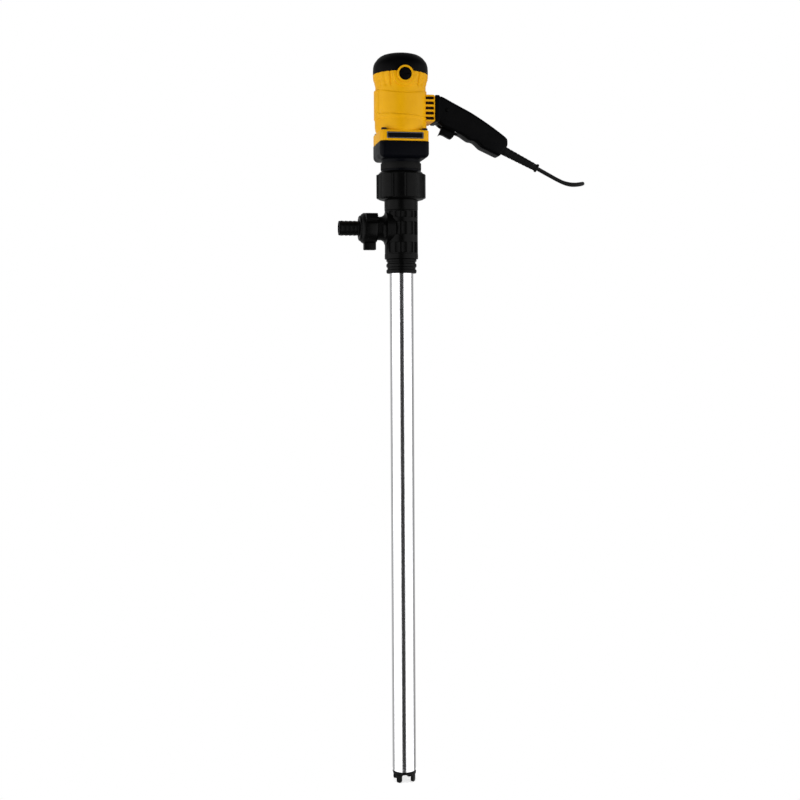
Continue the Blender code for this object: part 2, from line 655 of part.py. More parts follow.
def nose_screws():
    """Four cap screws down through the housing's corners into the nose."""
    head = BAND_TOP + GAP
    for index, (x, y) in enumerate(nose_screw_places()):
        screw = turned(f"nose_screw_{index + 1}", [
            (0, head + 1.5 * MM), (2 * MM, head + 1.5 * MM), (2 * MM, head + SCREW_HEAD), (SCREW_HEAD_D / 2 - 0.6 * MM, head + SCREW_HEAD),
            (SCREW_HEAD_D / 2, head + SCREW_HEAD - 0.6 * MM), (SCREW_HEAD_D / 2, head), (SCREW_D / 2, head),
            (SCREW_D / 2, PARTING - 18 * MM), (0, PARTING - 18 * MM)], DARK_STEEL, 12)
        screw.location = (x, y, 0)


def motor_housing():
    """Yellow housing: a waisted barrel with a square foot, the vent box and two brush bosses."""
    barrel = MOTOR_D / 2
    waist = WAIST_D / 2
    shoulder = 292 * MM
    housing = turned("motor_housing", [
        (0, CAP_PARTING), (SHOULDER_D / 2, CAP_PARTING), (SHOULDER_D / 2 - 0.4 * MM, 316 * MM),
        (waist + 1.4 * MM, 309 * MM), (waist, 304 * MM), (waist, shoulder + 3 * MM), (barrel, shoulder),
        (barrel, 247 * MM), (waist + 1 * MM, 243 * MM), (waist + 1 * MM, 232 * MM), (BAND_HALF, BAND_TOP + 2 * MM),
        (BAND_HALF - 1 * MM, PARTING + GAP), (0, PARTING + GAP)], YELLOW, 36)
    reach, half_depth, low, high = VENT_BOX
    band = loft("band", [rounded_square(BAND_HALF, CORNER_R, z) for z in (PARTING + GAP, BAND_TOP)])
    vent_box = box("vent_box", (reach - 20 * MM, 2 * half_depth, high - low), ((reach + 20 * MM) / 2, 0, (low + high) / 2))
    join(housing, band, vent_box)
    for side in (-1, 1):
        join(housing, aim(rod(f"boss_{side}", BOSS_D / 2, 30 * MM, BOSS_FACE, steps=24), (0, side, 0), (0, 0, BRUSH_HEIGHT)))

    room = barrel - 5.3 * MM
    bottom_room = FAN_D / 2 + 2 * MM
    hollow = turned("housing_hollow", [
        (0, CAP_PARTING + 15 * MM), (room, CAP_PARTING + 15 * MM), (room, STACK_BASE - 4 * MM),
        (bottom_room, STACK_BASE - 6 * MM), (bottom_room, PARTING - 5 * MM), (0, PARTING - 5 * MM)])
    box_room = box("vent_box_hollow", (reach - 3 * MM - 22 * MM, 2 * half_depth - 6 * MM, high - low - 6 * MM),
                   ((reach - 3 * MM + 22 * MM) / 2, 0, (low + high) / 2))
    lead_hole = aim(rod("lead_hole", 6 * MM, reach - 8 * MM, reach + 5 * MM), (1, 0, 0), (0, 0, 275 * MM))
    cut(housing, hollow, box_room, lead_hole)
    for side in (-1, 1):
        wide, narrow = BRUSH_CAP_D / 2 + GAP, 9.3 * MM
        drill = turned(f"boss_drill_{side}", [
            (0, 60 * MM), (wide, 60 * MM), (wide, 38 * MM), (narrow, 38 * MM), (narrow, 25 * MM), (0, 25 * MM)], steps=20)
        cut(housing, aim(drill, (0, side, 0), (0, 0, BRUSH_HEIGHT)))
    for slot in range(VENT_SLOTS):
        cut(housing, box(f"vent_slot_{slot}", (14.4 * MM, 2 * half_depth + 10 * MM, 4.4 * MM),
                         (47.4 * MM, 0, VENT_FIRST + slot * VENT_PITCH)))
    for hole in nose_screw_holes("housing", PARTING - 5 * MM, BAND_TOP + 30 * MM):
        cut(housing, hole)
    plate = box("nameplate", PLATE_SIZE, (0, -BAND_HALF - GAP - PLATE_SIZE[1] / 2, PLATE_HEIGHT), LABEL)
    bevel = plate.modifiers.new("Round", "BEVEL")
    bevel.width = 0.3 * MM
    bevel.segments = 1


def top_cap():
    """Black domed cap with the upper bearing's seat inside and an arch round each brush boss."""
    low = CAP_PARTING + GAP
    radius = SHOULDER_D / 2
    crown = low + CAP_HEIGHT - GAP
    dome = [(0, crown), (0.30, 0.995), (0.55, 0.965), (0.76, 0.885), (0.89, 0.75), (0.965, 0.55), (1.0, 0.27)]
    outside = [dome[0]] + [(radius * r, low + (crown - low) * h) for r, h in dome[1:]] + [(radius, low)]
    inside = [((r - SHELL_WALL) if r > 0 else 0, z - SHELL_WALL) for r, z in outside[:-1]]
    cap = turned("top_cap", [*outside, (0, low)], BLACK, 36)
    hollow_profile = [inside[0], *[(max(r, 0.5 * MM), z) for r, z in inside[1:]], (radius - SHELL_WALL, low - 5 * MM), (0, low - 5 * MM)]
    cut(cap, turned("cap_hollow", hollow_profile, steps=36))
    seat = UPPER_BEARING[0] / 2 + GAP
    join(cap, rod("bearing_boss", seat + 3 * MM, CAP_BEARING - 1 * MM, crown - 1.5 * MM, steps=24))
    cut(cap, rod("bearing_pocket", seat, CAP_BEARING - 6 * MM, CAP_BEARING + UPPER_BEARING[1] + GAP, steps=24))
    cut(cap, rod("shaft_room", SHAFT_R + 1.5 * MM, CAP_BEARING, CAP_BEARING + UPPER_BEARING[1] + 4 * MM))
    for side in (-1, 1):
        arch = aim(rod(f"cap_arch_{side}", BOSS_D / 2 + GAP, 20 * MM, 60 * MM, steps=24), (0, side, 0), (0, 0, BRUSH_HEIGHT))
        cut(cap, arch)


def bearings():
    """Two sealed ball bearings."""
    for name, (outer, width), low in (("lower_bearing", LOWER_BEARING, BEARING_SEAT + GAP), ("upper_bearing", UPPER_BEARING, CAP_BEARING)):
        tube(name, outer / 2, SHAFT_HOLE_R, low, low + width, STEEL, 24)


def stator():
    """Laminated ring with two poles along X, and a field coil round each pole."""
    inner = STATOR_R - 4.4 * MM
    core = tube("stator_core", STATOR_R, inner, STACK_BASE, STACK_TOP, LAMINATION, 32)
    middle = (STACK_BASE + STACK_TOP) / 2
    pole_half = 11 * MM
    coil_in = POLE_R + 2 * MM
    coil_out = coil_in + 7 * MM
    for side, name in ((-1, "left"), (1, "right")):
        near = POLE_R - 3 * MM
        pole = box(f"pole_{name}", (inner + 2 * MM - near, 2 * pole_half, STACK_HEIGHT), (side * (inner + 2 * MM + near) / 2, 0, middle))
        join(core, pole)
        window = STACK_HEIGHT / 2 + GAP
        coil = box(f"field_coil_{name}", (coil_out - coil_in, 2 * pole_half + 13 * MM, STACK_HEIGHT + 14 * MM),
                   (side * (coil_in + coil_out) / 2, 0, middle), COPPER)
        opening = box(f"coil_window_{name}", (20 * MM, 2 * (pole_half + GAP), 2 * window), (side * (coil_in + coil_out) / 2, 0, middle))
        cut(coil, opening)
    cut(core, rod("armature_room", POLE_R, STACK_BASE - 5 * MM, STACK_TOP + 5 * MM, steps=30))


def armature():
    """The turning half of the motor: shaft, core, winding, commutator, fan and coupling half."""
    shaft_low = COUPLING_WEB - 12 * MM
    rod("armature_shaft", SHAFT_R, shaft_low, CAP_BEARING + UPPER_BEARING[1] + 1.5 * MM, STEEL)
    slot_width = 4.2 * MM
    slot_root = 13 * MM
    core = tube("armature_core", ARMATURE_R, SHAFT_HOLE_R, STACK_BASE, STACK_TOP, LAMINATION)
    for slot in range(ARMATURE_SLOTS):
        opening = box(f"core_slot_{slot}", (12 * MM, slot_width, STACK_HEIGHT + 10 * MM), (0, 0, 0))
        opening.matrix_world = (Matrix.Rotation(2 * math.pi * slot / ARMATURE_SLOTS, 4, "Z")
                                @ Matrix.Translation((slot_root + 6 * MM, 0, (STACK_BASE + STACK_TOP) / 2)))
        cut(core, opening)

    end = ARMATURE_R - 1.8 * MM
    winding = tube("armature_winding", end, SHAFT_HOLE_R + 2 * MM, STACK_TOP + GAP, STACK_TOP + 10 * MM, COPPER, 20)
    join(winding, tube("winding_low", end, SHAFT_HOLE_R + 2 * MM, STACK_BASE - 10 * MM, STACK_BASE - GAP, steps=24))
    depth = end - slot_root - GAP
    for slot in range(ARMATURE_SLOTS):
        bar = box(f"winding_bar_{slot}", (depth, slot_width - 2 * GAP, STACK_HEIGHT + 12 * MM), (0, 0, 0))
        bar.matrix_world = (Matrix.Rotation(2 * math.pi * slot / ARMATURE_SLOTS, 4, "Z")
                            @ Matrix.Translation((slot_root + GAP + depth / 2 - 0.1 * MM, 0, (STACK_BASE + STACK_TOP) / 2)))
        join(winding, bar)

    low = BRUSH_HEIGHT - COMMUTATOR_LENGTH / 2
    tube("commutator", COMMUTATOR_R, SHAFT_HOLE_R, low, low + COMMUTATOR_LENGTH, COPPER, 20)

    fan_low = BEARING_SEAT + 13 * MM
    fan_top = fan_low + 13 * MM
    fan = turned("cooling_fan", [
        (FAN_D / 2, fan_top), (FAN_D / 2, fan_top - 2 * MM), (9 * MM, fan_top - 2 * MM), (9 * MM, fan_low),
        (SHAFT_HOLE_R, fan_low), (SHAFT_HOLE_R, fan_top)], BLACK, 24)
    reach = FAN_D / 2 - 10 * MM
    for blade in range(FAN_BLADES):
        vane = box(f"fan_blade_{blade}", (1.8 * MM, reach, 10.5 * MM), (0, 0, 0))
        vane.matrix_world = facing(360 / FAN_BLADES * blade) @ Matrix.Translation(
            (0, -(8.6 * MM + reach / 2), fan_top - 1 * MM - 5.25 * MM))
        join(fan, vane)


def couplings():
    """Two halves with two dogs each, a quarter turn apart, under the motor and over the pump."""
    outer = COUPLING_D / 2
    upper_top = COUPLING_WEB - 1.5 * MM
    lower_base = NECK_BASE + 2.5 * MM
    hub = 13 * MM
    dog_length = upper_top - lower_base - 2 * hub - 2 * MM
    for name, low, azimuth, dog_low in (
            ("motor_coupling", upper_top - hub, 90, upper_top - hub - dog_length),
            ("pump_coupling", lower_base, 0, lower_base + hub - 0.5 * MM)):
        piece = tube(name, outer, SHAFT_HOLE_R, low, low + hub, DARK_STEEL, 20)
        for side in (0, 180):
            dog = box(f"{name}_dog_{side}", (10 * MM, outer - 9 * MM, dog_length + 0.5 * MM), (0, 0, 0))
            dog.matrix_world = facing(azimuth + side) @ Matrix.Translation(
                (0, -(outer + 7 * MM) / 2, dog_low + (dog_length + 0.5 * MM) / 2))
            join(piece, dog)


def brush_gear():
    """Holder, carbon brush, spring and screwed cap on the front and back of the commutator."""
    across, high = BRUSH_SECTION
    floor = 38 * MM
    near = COMMUTATOR_R + 0.4 * MM
    for side, name in ((-1, "front"), (1, "rear")):
        centre = (0, 0, BRUSH_HEIGHT)
        holder = turned(f"brush_holder_{name}", [
            (0, floor + 2.3 * MM), (BRUSH_CAP_D / 2 - GAP, floor + 2.3 * MM), (BRUSH_CAP_D / 2 - GAP, floor + GAP),
            (9 * MM, floor + GAP), (9 * MM, near + 4 * MM), (0, near + 4 * MM)], BRASS, 24)
        bore = box(f"brush_bore_{name}", (across + 2 * GAP, high + 2 * GAP, 60 * MM), (0, 0, 30 * MM))
        cut(holder, bore)
        aim(holder, (0, side, 0), centre)
        follow(holder, centre)
        brush = box(f"carbon_brush_{name}", (across, high, BRUSH_LENGTH), (0, 0, 0), CARBON)
        brush.matrix_world = holder.matrix_world @ Matrix.Translation((0, 0, near + BRUSH_LENGTH / 2))
        start = near + BRUSH_LENGTH + GAP
        cap_floor = floor + 2.3 * MM + GAP
        spring_d = 0.8 * MM
        turns, per_turn = 3, 8
        rise = cap_floor - GAP - start - spring_d
        helix = [(2.2 * MM * math.cos(2 * math.pi * i / per_turn), 2.2 * MM * math.sin(2 * math.pi * i / per_turn),
                  start + spring_d / 2 + rise * i / (turns * per_turn)) for i in range(turns * per_turn + 1)]
        spring = wire(f"brush_spring_{name}", helix, spring_d, STEEL, 0)
        spring.matrix_world = holder.matrix_world
        radius = BRUSH_CAP_D / 2
        face = BOSS_FACE - 1.2 * MM
        cap = turned(f"brush_cap_{name}", [
            (0, face), (radius - 0.8 * MM, face), (radius, face - 0.8 * MM), (radius, cap_floor), (0, cap_floor)], BLACK, 24)
        driver_slot = box(f"driver_slot_{name}", (14 * MM, 1.6 * MM, 4 * MM), (0, 0, face + 0.8 * MM))
        cut(cap, driver_slot)
        aim(cap, (0, side, 0), centre)
        follow(cap, centre)


# ---------------------------------------------------------------- handle

GRIP_TOP = [(80, 283), (88.7, 278.3), (106.9, 269.1), (125.2, 259.8), (143.6, 248.7), (162, 236.8), (180.5, 223.8), (191.7, 214.4)]
GRIP_REAR = [(191.7, 202.4), (182.3, 189.9), (174.9, 183.6)]
GRIP_UNDER = [(161.9, 189.5), (152.7, 193.7), (143.5, 198), (134.3, 206.7), (128.8, 210.2), (121.5, 210.4),
              (112.4, 216.9), (106.8, 220.3), (101.3, 222), (97, 223.5), (73, 233.6)]


def grip_outline():
    """The handle seen from the front: a flange on the vent box, then the slanting grip."""
    reach, half_depth, low, high = VENT_BOX
    start = reach + GAP + 1.3 * MM
    points = [(start, high - 0.2 * MM), (72 * MM, high - 0.6 * MM)]
    points += [(x * MM, z * MM) for x, z in GRIP_TOP + GRIP_REAR + GRIP_UNDER]
    return [*points, (64 * MM, low + 0.2 * MM), (start, low + 0.2 * MM)]


def inset(outline, distance):
    """The outline moved inwards by a distance, for points that run clockwise."""
    moved = []
    count = len(outline)
    for i in range(count):
        before, here, after = (Vector(outline[(i + k) % count]) for k in (-1, 0, 1))
        into, out = (here - before).normalized(), (after - here).normalized()
        normals = Vector((into.y, -into.x)), Vector((out.y, -out.x))
        middle = (normals[0] + normals[1]).normalized()
        moved.append(tuple(here + middle * distance / max(0.4, middle.dot(normals[0]))))
    return moved


def handle_shells():
    """Two shells parted on the plane y = 0, with screw bosses, and the openings they share."""
    reach, half_depth, low, high = VENT_BOX
    outline = grip_outline()
    room = inset(outline, GRIP_WALL)
    screw_hole = HANDLE_SCREW_D / 2 + GAP
    for side, name in ((-1, "front"), (1, "rear")):
        faces = sorted((-side * 4 * MM, side * GRIP_HALF))
        shell = slab(f"handle_shell_{name}", outline, *faces, BLACK, upright=True)
        flange_faces = sorted((-side * 7 * MM, side * half_depth))
        flange = box(f"flange_{name}", (9 * MM, flange_faces[1] - flange_faces[0], high - low),
                     (reach + GAP + 4.5 * MM, sum(flange_faces) / 2, (low + high) / 2))
        join(shell, flange)
        hollow_faces = sorted((-side * 9 * MM, side * (GRIP_HALF - GRIP_WALL)))
        cut(shell, slab(f"grip_hollow_{name}", room, *hollow_faces, upright=True))
        other_half = box(f"other_half_{name}", (200 * MM, 100 * MM, 200 * MM),
                         (120 * MM, side * (GAP / 2 - 50 * MM), 230 * MM))
        cut(shell, other_half)
        for index, (x, z) in enumerate(HANDLE_SCREWS):
            span = sorted((side * 1 * MM, side * (GRIP_HALF - 1 * MM)))
            join(shell, across(f"screw_boss_{name}_{index}", x, z, 4.8 * MM, *span))
        pivot_span = sorted((side * (TRIGGER_HALF + 1.5 * MM), side * (GRIP_HALF - 1 * MM)))
        join(shell, across(f"pivot_boss_{name}", TRIGGER_PIVOT.x, TRIGGER_PIVOT.z, 3.6 * MM, *pivot_span))
        pin_span = sorted((-side * 1 * MM, side * (GRIP_HALF - GRIP_WALL + GAP)))
        cut(shell, across(f"pin_hole_{name}", TRIGGER_PIVOT.x, TRIGGER_PIVOT.z, 2 * MM + GAP, *pin_span))
        for index, (x, z) in enumerate(HANDLE_SCREWS):
            way = [(screw_hole, -2 * MM), (0, -2 * MM)]
            if side > 0:
                head_hole = 3.6 * MM + GAP
                way = [(0, 30 * MM), (head_hole, 30 * MM), (head_hole, HEAD_FLOOR), (screw_hole, HEAD_FLOOR), *way]
            else:
                way = [(0, GRIP_HALF - GRIP_WALL - 1 * MM), (screw_hole, GRIP_HALF - GRIP_WALL - 1 * MM), *way]
            cut(shell, aim(turned(f"screw_way_{name}_{index}", way, steps=FINE_STEPS), (0, side, 0), (x, 0, z)))
        trigger_way = box(f"trigger_way_{name}", (36 * MM, 2 * (TRIGGER_HALF + 0.6 * MM), 34 * MM), (85.5 * MM, 0, 229 * MM))
        boot_way = aim(rod(f"boot_way_{name}", 8 * MM + GAP, -14 * MM, 20 * MM, steps=24), CORD_DIRECTION, BOOT_START)
        boot_seat = aim(rod(f"boot_seat_{name}", 10.5 * MM + GAP, -14 * MM, -5 * MM + GAP, steps=24), CORD_DIRECTION, BOOT_START)
        wire_way = aim(rod(f"wire_way_{name}", 6 * MM, reach - 5 * MM, reach + 12 * MM), (1, 0, 0), (0, 0, 275 * MM))
        cut(shell, trigger_way, boot_way, boot_seat, wire_way)
    lock_way = across("lock_way", LOCK_PLACE.x, LOCK_PLACE.z, LOCK_D / 2 + GAP, -GRIP_HALF - 5 * MM, -GRIP_HALF + GRIP_WALL + 5 * MM)
    cut(bpy.data.objects["handle_shell_front"], lock_way)
    for index, (x, z) in enumerate(HANDLE_SCREWS):
        head_floor = HEAD_FLOOR + GAP
        head = head_floor + 2.4 * MM
        screw = turned(f"handle_screw_{index + 1}", [
            (0, head - 1.2 * MM), (1.2 * MM, head - 1.2 * MM), (1.8 * MM, head), (3 * MM, head), (3.6 * MM, head - 0.8 * MM), (3.6 * MM, head_floor),
            (HANDLE_SCREW_D / 2, head_floor), (HANDLE_SCREW_D / 2, -11 * MM), (0, -11 * MM)], DARK_STEEL, 12)
        aim(screw, (0, 1, 0), (x, 0, z))


def across(name, x, z, radius, low, high, look=None, steps=FINE_STEPS):
    """A round piece along Y at (x, z)."""
    return aim(rod(name, radius, low, high, look, steps), (0, 1, 0), (x, 0, z))


def trigger():
    """The trigger turns about its pin; its toe swings up into the grip."""
    outline = [(66.7, 218.5), (72.2, 221.3), (83, 216.2), (90.3, 213.7), (95.9, 220), (100.6, 223.4), (101.2, 227), (98, 230.2),
               (76, 239.5), (73, 238.5), (72.2, 231)]
    points = [(x * MM - TRIGGER_PIVOT.x, z * MM - TRIGGER_PIVOT.z) for x, z in reversed(outline)]
    piece = slab("trigger", points, -TRIGGER_HALF, TRIGGER_HALF, BLACK, upright=True)
    piece.location = TRIGGER_PIVOT
    cut(piece, across("trigger_hole", TRIGGER_PIVOT.x, TRIGGER_PIVOT.z, 2 * MM + GAP, -GRIP_HALF, GRIP_HALF))
    pin_reach = GRIP_HALF - GRIP_WALL - GAP
    across("trigger_pin", TRIGGER_PIVOT.x, TRIGGER_PIVOT.z, 2 * MM, -pin_reach, pin_reach, STEEL)


def handle_fittings():
    """Switch, its lock button, the cord clamp and the boot."""
    slope = Matrix.Rotation(math.radians(29), 4, "Y")
    box("switch_body", (42 * MM, 20 * MM, 15 * MM), (105 * MM, 0, 250.5 * MM), CARBON, slope)
    face = GRIP_HALF + 2.2 * MM
    wall = GRIP_HALF - GRIP_WALL - GAP
    button = turned("lock_button", [
        (0, face), (LOCK_D / 2 - 1 * MM, face), (LOCK_D / 2, face - 1 * MM), (LOCK_D / 2, wall),
        (LOCK_D / 2 + 1.2 * MM, wall), (LOCK_D / 2 + 1.2 * MM, wall - 1.5 * MM), (LOCK_D / 2, wall - 1.5 * MM),
        (LOCK_D / 2, face - 9 * MM), (0, face - 9 * MM)], BLACK, 16)
    aim(button, (0, -1, 0), LOCK_PLACE)
    over = CORD_D / 2 + GAP + 1.5 * MM
    upward = Vector((-CORD_DIRECTION.z, 0, CORD_DIRECTION.x))
    clamp = box("cord_clamp", (8 * MM, 2 * (GRIP_HALF - GRIP_WALL - GAP), 3 * MM), BOOT_START - CORD_DIRECTION * 17 * MM + upward * over,
                BLACK, Matrix.Rotation(math.atan2(-CORD_DIRECTION.z, CORD_DIRECTION.x), 4, "Y"))
    bevel = clamp.modifiers.new("Round", "BEVEL")
    bevel.width = 0.8 * MM
    bevel.segments = 1

    length = (BOOT_END - BOOT_START).length
    bore = CORD_D / 2 + GAP
    ring_low, ring_high = length - 3.6 * MM, length - 0.6 * MM
    boot = turned("cord_boot", [
        (5.4 * MM, length), (5.6 * MM, ring_high), (7.8 * MM, ring_high - 0.4 * MM), (7.8 * MM, ring_low + 0.4 * MM),
        (6.3 * MM, ring_low), (8 * MM, 4 * MM), (8 * MM, -5 * MM), (10.5 * MM, -5 * MM), (10.5 * MM, -9 * MM),
        (bore, -9 * MM), (bore, length)], RUBBER, 24)
    aim(boot, CORD_DIRECTION, BOOT_START)


# ---------------------------------------------------------------- cord, hank and plug

def capsule(centre_x, low, high, radius, steps=10):
    """An upright outline with round ends, in x and z, between two fold centres."""
    points = [(centre_x + radius * math.cos(math.pi * i / steps), high + radius * math.sin(math.pi * i / steps)) for i in range(steps + 1)]
    points += [(centre_x - radius * math.cos(math.pi * i / steps), low - radius * math.sin(math.pi * i / steps)) for i in range(steps + 1)]
    return points


def cord_and_plug():
    inside = BOOT_START - CORD_DIRECTION * 26 * MM
    route = [inside, BOOT_START, BOOT_START.lerp(BOOT_END, 0.5)] + [Vector(point) * MM for point in CORD_ROUTE]
    wire("power_cord", smooth_path(route, 16 * MM), CORD_D, CORD_PVC)
    fold_high = HANK_TOP - HANK_FOLD
    fold_low = fold_high - HANK_RUN
    hank_outline = capsule(HANK_X, fold_low, fold_high, HANK_FOLD + CORD_D / 2)
    back = HANK_FRONT + HANK_DEPTH
    slab("cord_hank", hank_outline, HANK_FRONT, back, CORD_PVC, upright=True)

    plug_front = back + GAP
    across_x, deep, tall = PLUG_SIZE
    plug_y = plug_front + deep / 2
    plug = box("plug_body", PLUG_SIZE, (PLUG_X, plug_y, PLUG_HEIGHT), BLACK)
    bevel = plug.modifiers.new("Round", "BEVEL")
    bevel.width = 3 * MM
    bevel.segments = 2
    pin_low = PLUG_HEIGHT + tall / 2 + GAP
    for index, side in enumerate((-1, 1)):
        pin = rod(f"plug_pin_{index + 1}", PIN_D / 2, pin_low, pin_low + PIN_LENGTH, BRASS, 12)
        pin.location = (PLUG_X + side * PIN_SPACING / 2, plug_y, 0)

    low, high = STRAP_HEIGHT - STRAP_WIDTH / 2, STRAP_HEIGHT + STRAP_WIDTH / 2
    strap = slab("hank_strap", strap_outline(GAP + STRAP_WALL), low, high, RUBBER)
    cut(strap, slab("strap_inside", strap_outline(GAP), low - 5 * MM, high + 5 * MM))


def strap_outline(gap):
    """The tight loop round the neck, the hank and the plug, at a distance outside them."""
    half = HANK_FOLD + CORD_D / 2 + gap
    radius = NECK_R + gap
    points = [around(10 * step, radius).to_2d() for step in range(36)]
    points += [Vector((HANK_X + side * half, y))
               for side in (-1, 1) for y in (HANK_FRONT - gap, HANK_FRONT + HANK_DEPTH + gap)]
    plug_back = HANK_FRONT + HANK_DEPTH + GAP + PLUG_SIZE[1]
    points += [Vector((PLUG_X + side * (PLUG_SIZE[0] / 2 + gap), plug_back + gap)) for side in (-1, 1)]
    return [tuple(points[i]) for i in convex_hull_2d(points)]


dip_tube()
tube_guide()
foot()
pump_rotor()
manifold()
outlet()
union_nut()
nose_housing()
nose_screws()
motor_housing()
top_cap()
bearings()
stator()
armature()
couplings()
brush_gear()
handle_shells()
trigger()
handle_fittings()
cord_and_plug()

bpy.context.view_layer.update()
for piece in parts.objects:
    if piece.type == "MESH":
        smooth(piece)
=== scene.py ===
# %% [markdown]
# # An electric drum pump
#
# A motor unit with a trigger grip sits on a black manifold, and a long polished tube hangs
# under it. The working parts were built first, as solids with joints, and they are loaded
# here as a fixed frame. The visible ones are then modelled again, finely, on the same places,
# and each new piece rides on the body that it belongs to.

# %% The frame
import math

import bpy
from mathutils import Matrix, Vector


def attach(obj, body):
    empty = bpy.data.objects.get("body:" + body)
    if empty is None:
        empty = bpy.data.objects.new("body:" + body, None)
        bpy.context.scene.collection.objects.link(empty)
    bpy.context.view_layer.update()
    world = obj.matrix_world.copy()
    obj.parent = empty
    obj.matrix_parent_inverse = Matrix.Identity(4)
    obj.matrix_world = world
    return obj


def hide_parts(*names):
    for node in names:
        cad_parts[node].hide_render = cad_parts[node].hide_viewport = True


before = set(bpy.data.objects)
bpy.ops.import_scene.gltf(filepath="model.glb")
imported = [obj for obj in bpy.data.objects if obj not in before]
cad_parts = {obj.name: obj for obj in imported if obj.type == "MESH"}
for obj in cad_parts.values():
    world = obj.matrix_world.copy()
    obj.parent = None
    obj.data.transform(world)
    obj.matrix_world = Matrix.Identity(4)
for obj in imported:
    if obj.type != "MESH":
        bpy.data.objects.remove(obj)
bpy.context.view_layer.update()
bpy.ops.object.select_all(action="DESELECT")
MM = 0.001

# %% [markdown]
# ## Camera
#
# The pump is seen from a little left of its front, by a camera over two metres off and below
# the level of the manifold, tipped down by two degrees. A long lens keeps the tube's sides
# almost parallel. The lens is shifted slightly so that the motor and the foot both fit.

# %% Camera
azimuth, tip, roll = (math.radians(angle) for angle in (-10.35, 2.21, 0.328))
camera_data = bpy.data.cameras.new("product_camera")
camera_data.lens = 55.21
camera_data.sensor_width = 36
camera_data.shift_y = -0.03
camera_data.clip_end = 30
camera = bpy.data.objects.new("product_camera", camera_data)
bpy.context.scene.collection.objects.link(camera)
turn = Matrix.Rotation(azimuth, 4, "Z") @ Matrix.Rotation(math.pi / 2 - tip, 4,
                                                          "X") @ Matrix.Rotation(-roll, 4, "Z")
place = Matrix.Rotation(azimuth, 4, "Z") @ Vector((-3.69 * MM, -2185.5 * MM, -122.9 * MM))
camera.matrix_world = Matrix.Translation(place) @ turn
bpy.context.scene.camera = camera
print("camera at", [round(value, 3) for value in camera.location])

# %% [markdown]
# ## The cord
#
# A rubber mains cord is 7 mm thick and bends no tighter than about four times that. It
# leaves the grip's boot, sags, turns back in a wide bend behind itself and runs along the
# back of the grip to the motor. The rest is folded into a hank of four turns behind the
# motor, two turns side by side in each of two layers, and its plug lies on the hank.
# The route is one smooth curve through points, because a cord is one piece.

# %% The cord's route
CORD_D = 7 * MM
BOOT_START, BOOT_END = Vector((187.2, 0, 195.9)) * MM, Vector((250.8, 0, 164.6)) * MM
LEAD = [
    (257, 0, 161.4), (266, 0, 156.6), (276, 0, 151.4), (286, 0, 146.2), (296, 0, 141.6),
    (306, 0, 138),
    (316, 0.2, 136.4), (326, 2, 137), (335, 7.5, 138.8), (341.5, 16, 140.8), (344.4, 26, 142.2),
    (343.6, 37, 142.8),
    (338, 47, 143), (329, 54, 144.4), (317, 58, 148), (303, 59.6, 154.6), (287, 59.6, 162.6),
    (270, 59.4, 171.4),
    (252, 59.2, 180.6), (233, 59, 190), (214, 58.8, 199.4), (195, 58.6, 208.8), (175, 58, 219),
    (155, 57.2, 229),
    (133, 56.2, 239), (110, 54.8, 248.2), (86, 53.2, 256), (66, 52, 261), (48, 51.6, 263.6),
    (30, 51.5, 264.5),
]
HANK_X, HANK_TOP, HANK_RUN = 11, 264.6, 105
OUTER, INNER = 28.3, 21.3
FRONT_LAYER, REAR_LAYER = 51.5, 58.5
FOLD_HIGH = HANK_TOP - OUTER
FOLD_LOW = FOLD_HIGH - HANK_RUN


def ease(t):
    t = min(1, max(0, t))
    return t * t * (3 - 2 * t)


def arc(height, radius, layer, start, end, steps):
    """Points of a fold about its centre: angles in degrees from +X towards +Z."""
    angles = [math.radians(start + (end - start) * i / steps) for i in range(steps + 1)]
    return [(HANK_X + radius * math.cos(a), layer, height + radius * math.sin(a)) for a in angles]


def rising_run(radius, next_radius, layer, next_layer, low, high):
    """The right-hand run, which changes place between two heights so that no turns cross."""
    points = []
    for i in range(1, 7):
        z = FOLD_LOW + HANK_RUN * i / 7
        t = ease((z - low) / (high - low))
        points.append((HANK_X + radius + (next_radius - radius) * t,
                       layer + (next_layer - layer) * t, z))
    return points


hank = []
turns = ((OUTER, INNER, FRONT_LAYER, FRONT_LAYER, 201, 236),
         (INNER, INNER, FRONT_LAYER, REAR_LAYER, 166, 201),
         (INNER, OUTER, REAR_LAYER, REAR_LAYER, 131, 166))
for radius, next_radius, layer, next_layer, low, high in turns:
    hank += arc(FOLD_HIGH, radius, layer, 90, 180, 5)
    hank += [(HANK_X - radius, layer, FOLD_HIGH - HANK_RUN * i / 4) for i in (1, 2, 3)]
    hank += arc(FOLD_LOW, radius, layer, 180, 360, 9)
    hank += rising_run(radius, next_radius, layer, next_layer, low, high)
    hank += arc(FOLD_HIGH, next_radius, next_layer, 0, 72, 4)
PLUG_X, PLUG_Y, PLUG_LOW = HANK_X - OUTER + 2 * INNER, 69.9, 143
hank += arc(FOLD_HIGH, OUTER, REAR_LAYER, 90, 180, 5)
hank += [(HANK_X - OUTER, REAR_LAYER, FOLD_HIGH - z) for z in (26, 52, 78)]
for i in range(9):
    angle = math.pi * (1 + i / 8)
    aside = ease((25 + INNER * (angle - math.pi)) / 91)
    hank.append((HANK_X - OUTER + INNER + INNER * math.cos(angle),
                 REAR_LAYER + (PLUG_Y - REAR_LAYER) * aside,
                 FOLD_LOW + INNER * math.sin(angle)))
hank.append((PLUG_X, PLUG_Y, PLUG_LOW - 3))


